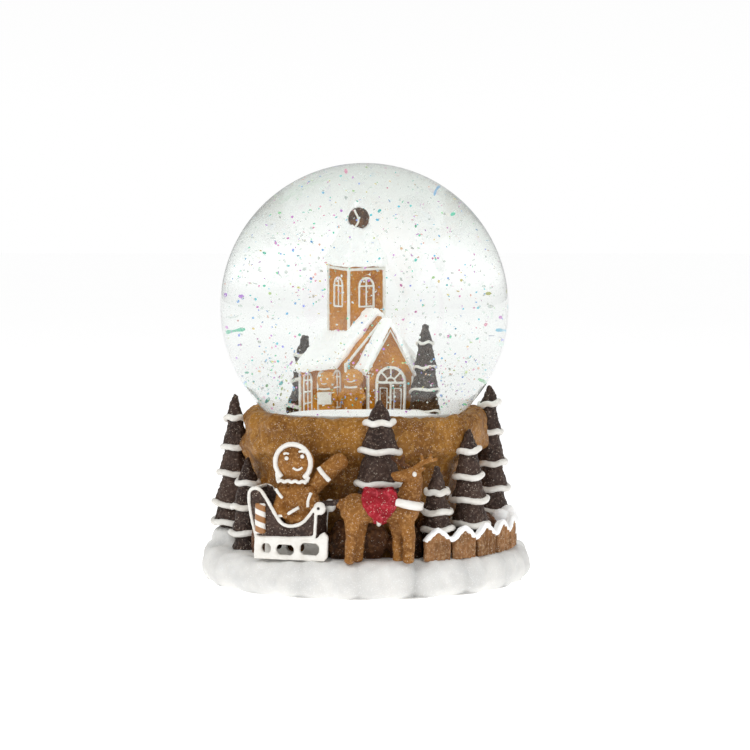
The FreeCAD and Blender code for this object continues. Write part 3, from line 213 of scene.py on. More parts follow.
@dataclass(frozen=True)
class CastResin:
    """Painted cast resin: a main and a shaded colour, pits darkened with painted shade, sugar sparkle and
    wear.
    """

    name: str
    main: Colour
    shade: Colour
    light: Colour
    roughness: float = 0.6
    grain: float = 900.0
    grain_depth: float = 0.35
    sparkle: float = 0.0
    pits: float = 0.0
    gloss: float = 0.22

    def make(self) -> bpy.types.Material:
        """Build the material."""
        paint = Palette(self.name)
        broad = paint.noise(75.0, 5.0, 0.65)
        fine = paint.noise(self.grain, 3.0, 0.6)
        speck = paint.cells(3800.0, "Color")
        tone = paint.blend(broad.over(0.5, 0.22), self.shade, self.main)
        tone = paint.blend(fine.over(0.6, 0.22) * 0.6, tone, self.light)
        height = fine * 0.6 + broad * 0.4
        if self.pits:
            pit = paint.cells(330.0).over(0.32, 0.3)
            # painted shade: each pit is darkened towards its middle
            tone = paint.blend((1.0 - pit) * self.pits, tone, tuple(c * 0.35 for c in self.main))
            height = height + pit * 0.5
        rough = fine * 0.25 + (self.roughness - 0.12)
        if self.sparkle:
            grain = paint.node("ShaderNodeSeparateColor", Color=speck)
            flash = Wire(paint.tree, grain.outputs[0]).over(1.0 - self.sparkle * 0.05, 0.01)
            tone = paint.blend(flash * 0.38, tone, (0.9, 0.8, 0.66))
            rough = rough - flash * 0.35
        normal = paint.bump(height, self.grain_depth, 0.0005)
        return paint.finish(Base_Color=tone, Roughness=rough, Normal=normal, Coat_Weight=0.02,
                            Coat_Roughness=0.35, Specular_IOR_Level=self.gloss)


@dataclass(frozen=True)
class Snow:
    """White snow paint with fine glitter, greyer patches at random, painted shade in the creases and a
    painted glow.
    """

    name: str
    white: Colour = (0.8, 0.79, 0.76)
    grey_and_crease_shade: Colour = (0.68, 0.68, 0.665)
    grain: float = 1500.0
    # a painted glow: the snow emits light though it is no lamp
    painted_glow: float = 0.0

    def make(self) -> bpy.types.Material:
        """Build the material."""
        paint = Palette(self.name)
        broad = paint.noise(90.0, 5.0, 0.6)
        fine = paint.noise(self.grain, 2.0, 0.7)
        # random greyer patches, in the grey that the creases' painted shade also starts from
        tone = paint.blend(broad.over(0.42, 0.35), self.grey_and_crease_shade, self.white)
        # painted shade in the creases: the depth stored on each point of the snow base darkens the snow there
        crease = paint.node("ShaderNodeAttribute", {"attribute_name": "grey_and_crease_shade"})
        deep = Wire(paint.tree, crease.outputs["Fac"])
        tone = paint.blend(deep * 0.55, tone, tuple(part * 0.72 for part in self.grey_and_crease_shade))
        grain = paint.node("ShaderNodeSeparateColor", Color=paint.cells(4200.0, "Color"))
        flash = Wire(paint.tree, grain.outputs[0]).over(0.93, 0.01)
        tone = paint.blend(flash * 0.5, tone, (1.0, 1.0, 1.0))
        rough = 0.72 - flash * 0.5
        normal = paint.bump(fine * 0.5 + broad * 0.8, 0.35, 0.0004)
        return paint.finish(Base_Color=tone, Roughness=rough, Normal=normal, Subsurface_Weight=0.15,
                            Subsurface_Radius=(1.0, 0.9, 0.8), Subsurface_Scale=0.001,
                            Emission_Color=(1.0, 1.0, 1.0), Emission_Strength=self.painted_glow)


@dataclass(frozen=True)
class Enamel:
    """Glossy piped icing or glaze, slightly uneven."""

    name: str
    colour: Colour
    stain: Colour
    roughness: float = 0.32
    coat: float = 0.25

    def make(self) -> bpy.types.Material:
        """Build the material."""
        paint = Palette(self.name)
        broad = paint.noise(240.0, 4.0, 0.6)
        tone = paint.blend(broad.over(0.38, 0.4), self.stain, self.colour)
        normal = paint.bump(broad, 0.25, 0.0004)
        return paint.finish(Base_Color=tone, Roughness=broad * 0.2 + (self.roughness - 0.1), Normal=normal,
                            Coat_Weight=self.coat, Coat_Roughness=0.2)


@dataclass(frozen=True)
class Stripes:
    """A twisted candy stick: two glaze colours wound round its axis."""

    name: str
    first: Colour
    second: Colour
    centre: Point
    turns: float = 260.0

    def make(self) -> bpy.types.Material:
        """Build the material."""
        paint = Palette(self.name)
        shifted = paint.node("ShaderNodeMapping", {"vector_type": "POINT"}, Vector=paint.place,
                             Location=tuple(-value * MM for value in self.centre))
        parts = paint.node("ShaderNodeSeparateXYZ", Vector=shifted.outputs[0])
        across, deep, up = (Wire(paint.tree, parts.outputs[i]) for i in range(3))
        wound = deep.math("ARCTAN2", across) + up * (self.turns * 2 * math.pi)
        band = wound.math("SINE").over(0.1, 0.3)
        fine = paint.noise(1200.0)
        tone = paint.blend(band, self.first, self.second)
        return paint.finish(Base_Color=tone, Roughness=fine * 0.2 + 0.3, Normal=paint.bump(band, 0.4, 0.0004),
                            Coat_Weight=0.3, Coat_Roughness=0.2)


@dataclass(frozen=True)
class Metal:
    """Plated, turned or cast metal with fine tool marks."""

    name: str
    colour: Colour
    dull: Colour
    roughness: float = 0.35

    def make(self) -> bpy.types.Material:
        """Build the material."""
        paint = Palette(self.name)
        stretched = paint.node("ShaderNodeMapping", None, Vector=paint.place, Scale=(1.0, 1.0, 9.0))
        marks = paint.node("ShaderNodeTexNoise", None, Vector=stretched.outputs[0], Scale=700.0, Detail=3.0)
        line = Wire(paint.tree, marks.outputs["Fac"])
        smear = paint.noise(160.0)
        tone = paint.blend(smear.over(0.45, 0.4), self.dull, self.colour)
        return paint.finish(Base_Color=tone, Metallic=1.0, Roughness=smear * 0.25 + (self.roughness - 0.1),
                            Normal=paint.bump(line, 0.2, 0.0002))


@dataclass(frozen=True)
class Moulded:
    """Moulded plastic or rubber with a spark-eroded texture."""

    name: str
    colour: Colour
    roughness: float = 0.55

    def make(self) -> bpy.types.Material:
        """Build the material."""
        paint = Palette(self.name)
        grain = paint.noise(1800.0, 2.0)
        smear = paint.noise(70.0)
        tone = paint.blend(smear.over(0.5, 0.5), tuple(c * 0.82 for c in self.colour), self.colour)
        return paint.finish(Base_Color=tone, Roughness=smear * 0.15 + (self.roughness - 0.07),
                            Normal=paint.bump(grain, 0.25, 0.0002))


@dataclass(frozen=True)
class ClearBody:
    """Glass or water: real refraction to the eye, open to the lamps behind it."""

    name: str
    index: float
    tint: Colour
    gloss: float = 0.2

    def make(self) -> bpy.types.Material:
        """Build the material."""
        paint = Palette(self.name)
        shader = paint.node("ShaderNodeBsdfPrincipled", None, Base_Color=self.tint, Roughness=0.0,
                            IOR=self.index, Transmission_Weight=1.0, Specular_IOR_Level=self.gloss)
        ripple = paint.noise(9.0, 1.0)
        paint.feed(shader.inputs["Normal"], paint.bump(ripple, 0.02, 0.0005))
        open_way = paint.node("ShaderNodeBsdfTransparent", None, Color=self.tint)
        path = paint.node("ShaderNodeLightPath")
        shadow = Wire(paint.tree, path.outputs["Is Shadow Ray"])
        diffuse = Wire(paint.tree, path.outputs["Is Diffuse Ray"])
        mix = paint.node("ShaderNodeMixShader", None)
        paint.feed(mix.inputs[0], shadow.math("MAXIMUM", diffuse))
        paint.feed(mix.inputs[1], shader.outputs[0])
        paint.feed(mix.inputs[2], open_way.outputs[0])
        paint.tree.links.new(mix.outputs[0], paint.output.inputs[0])
        return paint.material


@dataclass(frozen=True)
class Glitter:
    """Iridescent film flakes, each with its own hue kept on its faces."""

    name: str

    def make(self) -> bpy.types.Material:
        """Build the material."""
        paint = Palette(self.name)
        hue = paint.node("ShaderNodeAttribute", {"attribute_name": "hue"})
        stops = [(0.0, (0.45, 0.16, 0.75)), (0.22, (0.95, 0.30, 0.62)), (0.4, (0.95, 0.75, 0.25)),
                 (0.58, (0.15, 0.80, 0.42)), (0.78, (0.10, 0.65, 0.85)), (1.0, (0.30, 0.30, 0.90))]
        ramp = paint.node("ShaderNodeValToRGB", {"stops": stops}, Fac=hue.outputs["Fac"])
        pale = Wire(paint.tree, hue.outputs["Fac"]).over(1.2, 0.02)
        tone = paint.blend(pale, ramp.outputs[0], (0.86, 0.93, 0.9))
        return paint.finish(Base_Color=tone, Roughness=0.25, Metallic=0.35, Coat_Weight=1.0,
                            Coat_Roughness=0.05, Specular_IOR_Level=0.8)


class Finishes(Enum):
    """Every finish on the globe, by what it is on."""

    DRUM = CastResin("sugared_gingerbread", (0.34, 0.15, 0.024), (0.17, 0.064, 0.01),
        (0.56, 0.31, 0.09), roughness=0.5, grain=850.0, grain_depth=0.6, sparkle=1.0, pits=0.25)
    ROCK = CastResin("dark_rock", (0.105, 0.04, 0.014), (0.035, 0.014, 0.006), (0.28, 0.13, 0.05),
        roughness=0.6, grain=600.0, grain_depth=0.7, sparkle=0.5, pits=0.3)
    BISCUIT = CastResin("biscuit", (0.3, 0.125, 0.025), (0.16, 0.06, 0.012), (0.6, 0.33, 0.12),
        roughness=0.6, grain=1100.0, grain_depth=0.45, sparkle=0.6, pits=0.2)
    FENCE = CastResin("fence_biscuit", (0.36, 0.17, 0.065), (0.19, 0.085, 0.03), (0.6, 0.4, 0.22),
        roughness=0.6, grain=1000.0, grain_depth=0.5, sparkle=0.6, pits=0.25)
    CHOCOLATE = CastResin("dark_chocolate", (0.062, 0.037, 0.028), (0.026, 0.015, 0.012),
        (0.2, 0.14, 0.11), roughness=0.5, grain=1100.0, grain_depth=0.8, sparkle=0.5, pits=0.2)
    # a darker copy of the chocolate, painted shade for the two trees in the ball, which light reaches from
    # all sides through the glass
    SHADED_INNER_CHOCOLATE = CastResin("shaded_inner_chocolate", (0.034, 0.018, 0.011), (0.014, 0.007, 0.005),
        (0.13, 0.085, 0.06), roughness=0.5, grain=1100.0, grain_depth=0.8, sparkle=0.3, pits=0.2,
        gloss=0.1)
    CHURCH = CastResin("church_gingerbread", (0.58, 0.21, 0.006), (0.34, 0.1, 0.003),
        (0.68, 0.33, 0.02), roughness=0.5, grain=1400.0, grain_depth=0.4, sparkle=0.3, pits=0.2,
        gloss=0.12)
    COOKIE = CastResin("cookie_figures", (0.62, 0.27, 0.04), (0.42, 0.16, 0.018), (0.75, 0.42, 0.12),
        roughness=0.5, grain=1400.0, grain_depth=0.4, sparkle=0.2, pits=0.1, gloss=0.15)
    CHURCH_DARK = CastResin("church_dark", (0.2, 0.075, 0.018), (0.1, 0.035, 0.01), (0.42, 0.2, 0.06),
        roughness=0.55, grain=1400.0, grain_depth=0.4, sparkle=0.4, pits=0.2)
    RED = CastResin("red_sugar", (0.46, 0.014, 0.028), (0.25, 0.005, 0.012), (0.72, 0.1, 0.13),
        roughness=0.5, grain=1000.0, grain_depth=0.9, sparkle=0.7, pits=0.3)
    SNOW = Snow("snow_paint")
    # the fine snow has a painted glow, so it stays bright inside the ball
    FINE_SNOW = Snow("fine_snow", (0.9, 0.9, 0.89), (0.8, 0.81, 0.81), grain=2400.0, painted_glow=0.16)
    ICING = Enamel("white_icing", (0.86, 0.84, 0.79), (0.68, 0.63, 0.55))
    DARK_EYE = Enamel("dark_dot", (0.03, 0.014, 0.01), (0.015, 0.008, 0.006), roughness=0.25, coat=0.5)
    STEEL = Metal("plated_steel", (0.62, 0.61, 0.58), (0.42, 0.41, 0.39))
    BRASS = Metal("turned_brass", (0.72, 0.5, 0.2), (0.5, 0.33, 0.12), roughness=0.3)
    SPRING = Metal("spring_steel", (0.32, 0.34, 0.38), (0.2, 0.22, 0.26), roughness=0.3)
    CASTING = Metal("die_casting", (0.52, 0.52, 0.51), (0.36, 0.36, 0.36), roughness=0.5)
    COVER = Moulded("black_plastic", (0.035, 0.035, 0.038))
    RUBBER = Moulded("black_rubber", (0.02, 0.02, 0.022), roughness=0.75)
    NYLON = Moulded("white_nylon", (0.78, 0.78, 0.74), roughness=0.4)
    GLASS = ClearBody("clear_glass", index=1.47, tint=(1.0, 1.0, 1.0))
    WATER = ClearBody("clear_water", index=1.333, tint=(0.94, 0.965, 0.945))
    GLITTER = Glitter("iridescent_film")


class Paintbox:
    """Makes each finish once and hands it out."""

    def __init__(self) -> None:
        """Start with nothing mixed."""
        self.mixed: dict[Finishes, bpy.types.Material] = {}

    def get(self, finish: Finishes) -> bpy.types.Material:
        """Return the finish's material."""
        if finish not in self.mixed:
            self.mixed[finish] = finish.value.make()
        return self.mixed[finish]

    def paint(self, piece: bpy.types.Object, finish: Finishes) -> None:
        """Give a whole piece one finish."""
        piece.data.materials.clear()
        piece.data.materials.append(self.get(finish))


PAINTS = Paintbox()


# ---------------------------------------------------------------- the modelling bench

class Shape(Enum):
    """The primitives a piece may start from."""

    BLOCK = "cube"
    ROD = "cylinder"
    CONE = "cone"
    BALL = "uv_sphere"
    STONE = "ico_sphere"
    SHEET = "plane"


class Skin(NamedTuple):
    """A cast skin: its mesh size in millimetres, its rounds of smoothing and its lumps."""

    voxel: float
    rounds: int = 3
    lumps: Sequence[tuple[float, float]] = ()


@dataclass(frozen=True)
class Stand:
    """A local frame on the base: its origin and its turn about Z."""

    x: float = 0.0
    y: float = 0.0
    z: float = 0.0
    turn: float = 0.0

    def matrix(self) -> Matrix:
        """Return the frame as a matrix in metres."""
        return Matrix.Translation(Vector((self.x, self.y, self.z)) * MM) @ Matrix.Rotation(
            math.radians(self.turn), 4, "Z")

    def at(self, x: float, y: float, z: float) -> Point:
        """Return a local point in the globe's axes, in millimetres."""
        spot = self.matrix() @ (Vector((x, y, z)) * MM)
        return tuple(value / MM for value in spot)


class Bench:
    """Blender's modelling operators, with millimetre sizes and clean selections."""

    def __init__(self) -> None:
        """Start with no textures."""
        self.textures: dict[float, bpy.types.Texture] = {}

    @staticmethod
    def only(*pieces: bpy.types.Object) -> None:
        """Select just these pieces and make the first one active."""
        bpy.ops.object.select_all(action="DESELECT")
        for piece in pieces:
            piece.select_set(True)
        bpy.context.view_layer.objects.active = pieces[0]

    def settle(self, piece: bpy.types.Object) -> bpy.types.Object:
        """Move a piece's place, turn and scale into its mesh."""
        self.only(piece)
        bpy.ops.object.transform_apply(location=True, rotation=True, scale=True)
        return piece

    def add(self, shape: Shape, name: str, place: Point, size: Sequence[float] = (1, 1, 1),
            turn: Point = (0, 0, 0), **settings: float) -> bpy.types.Object:
        """Add a primitive at its size and place, and settle it.

        Args:
            shape: The primitive.
            name: The piece's name.
            place: Its centre, in millimetres.
            size: Its half sizes, in millimetres.
            turn: Its turn in degrees.
            settings: Extra settings of the primitive.

        Returns:
            The piece.
        """
        bpy.ops.object.select_all(action="DESELECT")
        defaults = {
            Shape.BLOCK: {"size": 2.0},
            Shape.SHEET: {"size": 2.0},
            Shape.ROD: {"radius": 1.0, "depth": 2.0, "vertices": 32},
            Shape.CONE: {"radius1": 1.0, "radius2": 0.0, "depth": 2.0, "vertices": 40},
            Shape.BALL: {"radius": 1.0, "segments": 32, "ring_count": 20},
            Shape.STONE: {"radius": 1.0, "subdivisions": 4}}
        values = {**defaults[shape], **settings}
        getattr(bpy.ops.mesh, f"primitive_{shape.value}_add")(location=Vector(place) * MM, rotation=[
            math.radians(angle) for angle in turn], **values)
        piece = bpy.context.active_object
        piece.name = name
        piece.data.name = name
        piece.scale = Vector(size) * MM
        return self.settle(piece)

    def move(self, piece: bpy.types.Object, stand: Stand) -> bpy.types.Object:
        """Put a piece made round the origin into a local frame."""
        piece.matrix_world = stand.matrix()
        return self.settle(piece)

    def join(self, name: str, pieces: Sequence[bpy.types.Object]) -> bpy.types.Object:
        """Join pieces into one object."""
        self.only(*pieces)
        if len(pieces) > 1:
            bpy.ops.object.join()
        joined = bpy.context.active_object
        joined.name = name
        joined.data.name = name
        return joined

    def modify(self, piece: bpy.types.Object, kind: str, **settings: object) -> bpy.types.Object:
        """Add a modifier and apply it."""
        self.only(piece)
        modifier = piece.modifiers.new(kind.title(), kind)
        for key, value in settings.items():
            setattr(modifier, key, value)
        bpy.ops.object.modifier_apply(modifier=modifier.name)
        return piece

    def cloud(self, size: float) -> bpy.types.Texture:
        """Return a soft cloud pattern of one size in millimetres."""
        if size not in self.textures:
            texture = bpy.data.textures.new(f"lumps_{size:g}", "CLOUDS")
            texture.noise_scale = size * MM
            texture.noise_depth = 2
            self.textures[size] = texture
        return self.textures[size]

    def lump(self, piece: bpy.types.Object, size: float, depth: float,
             where: Optional[Callable[[Vector], float]] = None) -> bpy.types.Object:
        """Push a surface in and out.

        Args:
            piece: The piece.
            size: The lumps' size in millimetres.
            depth: How far they stand, in millimetres.
            where: The share of the push at a point in millimetres.

        Returns:
            The piece.
        """
        settings = {"texture": self.cloud(size), "strength": depth * MM, "mid_level": 0.5,
                    "texture_coords": "LOCAL"}
        if where is not None:
            group = piece.vertex_groups.new(name="push")
            for vertex in piece.data.vertices:
                group.add([vertex.index], where(vertex.co / MM), "REPLACE")
            settings["vertex_group"] = "push"
        self.modify(piece, "DISPLACE", **settings)
        piece.vertex_groups.clear()
        return piece

    def cast(self, piece: bpy.types.Object, voxel: float, rounds: int = 3,
             lumps: Iterable[tuple[float, float]] = ()) -> bpy.types.Object:
        """Melt a joined piece into one cast skin.

        Args:
            piece: The piece.
            voxel: The skin's mesh size in millimetres.
            rounds: How often the skin is smoothed.
            lumps: Sizes and depths of the lumps pushed into it, in millimetres.

        Returns:
            The piece.
        """
        self.modify(piece, "REMESH", mode="VOXEL", voxel_size=voxel * MM, adaptivity=0.0)
        if rounds:
            self.modify(piece, "SMOOTH", factor=0.5, iterations=rounds)
        for size, depth in lumps:
            self.lump(piece, size, depth)
        self.only(piece)
        bpy.ops.object.shade_smooth()
        return piece

    def make(self, name: str, parts: Sequence[bpy.types.Object], skin: Skin, finish: Finishes,
             slot: Optional[str] = None, replaces: Sequence[str] = (),
             stand: Optional[Stand] = None) -> bpy.types.Object:
        """Join parts, melt them into one skin, stand them in their place and dress them.

        Args:
            name: The finished piece's name.
            parts: What it is joined from.
            skin: Its mesh size, smoothing and lumps.
            finish: Its finish.
            slot: The record's material slot it stands for; not used.
            replaces: The frame nodes it is shown for.
            stand: The local frame it was made in.

        Returns:
            The piece.
        """
        piece = self.join(name, parts)
        self.cast(piece, *skin)
        if stand is not None:
            self.move(piece, stand)
        return self.dress(piece, finish, replaces)

    def copy_of(self, node: str, name: str) -> bpy.types.Object:
        """Copy a frame node's mesh into a new merged piece."""
        bpy.ops.object.select_all(action="DESELECT")
        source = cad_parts[node]
        piece = bpy.data.objects.new(name, source.data.copy())
        bpy.context.scene.collection.objects.link(piece)
        piece.data.name = name
        piece.data.materials.clear()
        self.only(piece)
        bpy.ops.object.mode_set(mode="EDIT")
        bpy.ops.mesh.select_all(action="SELECT")
        bpy.ops.mesh.remove_doubles(threshold=NODE_DOUBLES)
        bpy.ops.object.mode_set(mode="OBJECT")
        return piece

    def line(self, name: str, points: Sequence[Point], radius: float, closed: bool = False,
             corners: bool = False) -> bpy.types.Object:
        """Pipe a round bead along points.

        Args:
            name: The bead's name.
            points: Points in millimetres.
            radius: The bead's radius in millimetres.
            closed: Whether it joins its own start.
            corners: Whether it runs straight between its points.

        Returns:
            The bead as a mesh.
        """
        bpy.ops.object.select_all(action="DESELECT")
        curve = bpy.data.curves.new(name, "CURVE")
        curve.dimensions = "3D"
        curve.bevel_depth = radius * MM
        curve.bevel_resolution = 3
        curve.resolution_u = 5
        curve.use_fill_caps = True
        kind = "POLY" if corners else "NURBS"
        spline = curve.splines.new(kind)
        spline.points.add(len(points) - 1)
        for spot, point in zip(spline.points, points):
            spot.co = (*(Vector(point) * MM), 1.0)
        spline.use_cyclic_u = closed
        if not corners:
            spline.order_u = 3
            spline.use_endpoint_u = not closed
        bead = bpy.data.objects.new(name, curve)
        bpy.context.scene.collection.objects.link(bead)
        self.only(bead)
        bpy.ops.object.convert(target="MESH")
        bead = bpy.context.active_object
        bpy.ops.object.shade_smooth()
        return bead

    def plate(self, name: str, outlines: Sequence[Sequence[tuple[float, float]]], thickness: float,
              edge: float = 0.2) -> bpy.types.Object:
        """Cut an upright plate in the XZ plane, with holes, centred on Y.

        Args:
            name: The plate's name.
            outlines: Its outer outline and its holes, in millimetres.
            thickness: Its thickness in millimetres.
            edge: The radius of its edges in millimetres.

        Returns:
            The plate as a mesh.
        """
        bpy.ops.object.select_all(action="DESELECT")
        curve = bpy.data.curves.new(name, "CURVE")
        curve.dimensions = "2D"
        curve.fill_mode = "BOTH"
        curve.extrude = (thickness / 2 - edge) * MM
        curve.bevel_depth = edge * MM
        curve.bevel_resolution = 2
        for outline in outlines:
            spline = curve.splines.new("POLY")
            spline.points.add(len(outline) - 1)
            for spot, (across, up) in zip(spline.points, outline):
                spot.co = (across * MM, up * MM, 0.0, 1.0)
            spline.use_cyclic_u = True
        sheet = bpy.data.objects.new(name, curve)
        bpy.context.scene.collection.objects.link(sheet)
        self.only(sheet)
        bpy.ops.object.convert(target="MESH")
        sheet = bpy.context.active_object
        sheet.rotation_euler = (math.radians(90), 0.0, 0.0)
        self.settle(sheet)
        return self.tidy(sheet)

    def tidy(self, piece: bpy.types.Object) -> bpy.types.Object:
        """Merge doubles and turn the faces outwards."""
        self.only(piece)
        bpy.ops.object.mode_set(mode="EDIT")
        bpy.ops.mesh.select_all(action="SELECT")
        bpy.ops.mesh.remove_doubles(threshold=DOUBLES)
        bpy.ops.mesh.normals_make_consistent(inside=False)
        bpy.ops.object.mode_set(mode="OBJECT")
        return piece

    def limb(self, name: str, start: Point, end: Point, first: float, last: float) -> bpy.types.Object:
        """Join two balls by a tapered rod, for arms, legs and branches."""
        begin, finish = Vector(start), Vector(end)
        along = finish - begin
        turn = [math.degrees(angle) for angle in along.to_track_quat("Z", "Y").to_euler()]
        rod = self.add(Shape.CONE, name, (begin + finish) / 2, (1, 1, along.length / 2), turn,
                       radius1=first, radius2=last, vertices=20)
        ends = [self.add(Shape.BALL, name, spot, (size,) * 3, segments=20, ring_count=12)
                for spot, size in ((start, first), (end, last))]
        return self.join(name, [rod, *ends])

    def dress(self, piece: bpy.types.Object, finish: Finishes,
              replaces: Sequence[str] = (), body: str = BODY) -> bpy.types.Object:
        """Paint a piece and hang it on its body.

        Args:
            piece: The piece.
            finish: Its finish.
            replaces: The frame nodes it is shown for.
            body: The body it moves with.

        Returns:
            The piece.
        """
        PAINTS.paint(piece, finish)
        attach(piece, body)
        if replaces:
            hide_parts(*replaces)
        LOG.info("%s: %d faces", piece.name, len(piece.data.polygons))
        return piece


BENCH = Bench()


def ring_points(radius: float, height: Callable[[float], float], steps: int,
                centre: tuple[float, float] = (0.0, 0.0)) -> list[Point]:
    """Return points round a circle whose height follows the angle in radians."""
    angles = [math.tau * step / steps for step in range(steps)]
    return [(centre[0] + radius * math.cos(a), centre[1] + radius * math.sin(a), height(a)) for a in angles]


# ---------------------------------------------------------------- globe and drum

@dataclass
class GlassBall:
    """The glass ball, the water in it and the glitter that drifts in the water."""

    radius: float = 50.0
    wall: float = 2.5
    centre: float = 94.2
    neck_bottom: float = 47.2
    neck_height: float = 9.0
    spin_steps: int = 128
    crease: float = 35.0
    water_bottom: float = 57.2
    flakes: int = 3400
    sizes: tuple[float, float] = (0.16, 0.46)
    span: float = 45.0
    deepest: float = -36.0
    low_share: float = 0.4
    low_band: tuple[float, float] = (-33.0, -14.0)
    room: float = 43.6
    church: float = 19.0
    church_top: float = -2.0
    bright_share: float = 0.5
    seed: int = 29

    def shell(self, name: str, profile: Sequence[tuple[float, float]], closed: bool) -> bpy.types.Object:
        """Spin a profile of radius and height round Z.

        Args:
            name: The piece's name.
            profile: Points as radius and height in millimetres.
            closed: Whether the last point joins the first.

        Returns:
            The spun piece.
        """
        mesh = bpy.data.meshes.new(name)
        edges = [(i, i + 1) for i in range(len(profile) - 1)]
        if closed:
            edges.append((len(profile) - 1, 0))
        mesh.from_pydata([(r * MM, 0.0, z * MM) for r, z in profile], edges, [])
        piece = bpy.data.objects.new(name, mesh)
        bpy.context.scene.collection.objects.link(piece)
        BENCH.only(piece)
        bpy.ops.object.mode_set(mode="EDIT")
        bpy.ops.mesh.select_all(action="SELECT")
        bpy.ops.mesh.spin(steps=self.spin_steps, angle=math.tau, center=(0, 0, 0), axis=(0, 0, 1))
        bpy.ops.object.mode_set(mode="OBJECT")
        BENCH.tidy(piece)
        BENCH.only(piece)
        bpy.ops.object.shade_smooth_by_angle(angle=math.radians(self.crease))
        return piece

    def arc(self, radius: float, low: float, steps: int = 72) -> list[tuple[float, float]]:
        """Return a circle's points from a height up to the pole."""
        start = math.asin((low - self.centre) / radius)
        angles = [start + (math.pi / 2 - start) * step / steps for step in range(steps + 1)]
        return [(max(radius * math.cos(a), 0.0), self.centre + radius * math.sin(a)) for a in angles]

    def build(self) -> None:
        """Blow the glass, fill it and scatter the glitter."""
        outer = self.arc(self.radius, self.neck_bottom + self.neck_height)
        inner = self.arc(self.radius - self.wall, self.neck_bottom + self.neck_height + 0.6)
        neck = [(outer[0][0] - 0.8, self.neck_bottom + 0.6), (outer[0][0] - 1.8, self.neck_bottom),
                (inner[0][0] - 0.6, self.neck_bottom), (inner[0][0], self.neck_bottom + 1.2)]
        glass = self.shell("glass_ball", list(reversed(outer)) + neck + inner, False)
        BENCH.dress(glass, Finishes.GLASS, ["glass_globe"])
        rim = self.arc(self.radius - self.wall + 0.03, self.water_bottom)
        water = self.shell("water_fill", [(0.0, self.water_bottom)] + rim, False)
        BENCH.dress(water, Finishes.WATER, ["globe_water"])
        self.scatter()

    def scatter(self) -> None:
        """Scatter film flakes through the water, thicker near the ground."""
        dice = random.Random(self.seed)
        flake = BENCH.add(Shape.ROD, "flake", (0, 0, 0), (1, 1, 0.02), vertices=6)
        template = flake.data
        work = bmesh.new()
        hues: list[float] = []
        while len(hues) < self.flakes * FLAKE_FACES:
            spot = Vector([dice.uniform(-self.span, self.span), dice.uniform(-self.span, self.span),
                           dice.uniform(self.deepest, self.span)])
            if dice.random() < self.low_share:
                spot.z = dice.uniform(*self.low_band)
            inside = max(abs(spot.x), abs(spot.y)) < self.church and spot.z < self.church_top
            if spot.length > self.room or inside:
                continue
            size = dice.uniform(*self.sizes)
            turn = Matrix.Rotation(dice.uniform(0, math.tau), 4, Vector(
                [dice.gauss(0, 1) for _ in range(3)]).normalized())
            place = Matrix.Translation((spot + Vector((0, 0, self.centre))) * MM)
            before = len(work.faces)
            copy = template.copy()
            copy.transform(place @ turn @ Matrix.Scale(size, 4))
            work.from_mesh(copy)
            bpy.data.meshes.remove(copy)
            hue = dice.random() if dice.random() < self.bright_share else PALE_HUE
            hues.extend([hue] * (len(work.faces) - before))
        mesh = bpy.data.meshes.new("glitter_flakes")
        work.to_mesh(mesh)
        work.free()
        layer = mesh.attributes.new("hue", "FLOAT", "FACE")
        layer.data.foreach_set("value", hues)
        bpy.data.objects.remove(flake)
        piece = bpy.data.objects.new("glitter_flakes", mesh)
        bpy.context.scene.collection.objects.link(piece)
        BENCH.dress(piece, Finishes.GLITTER)


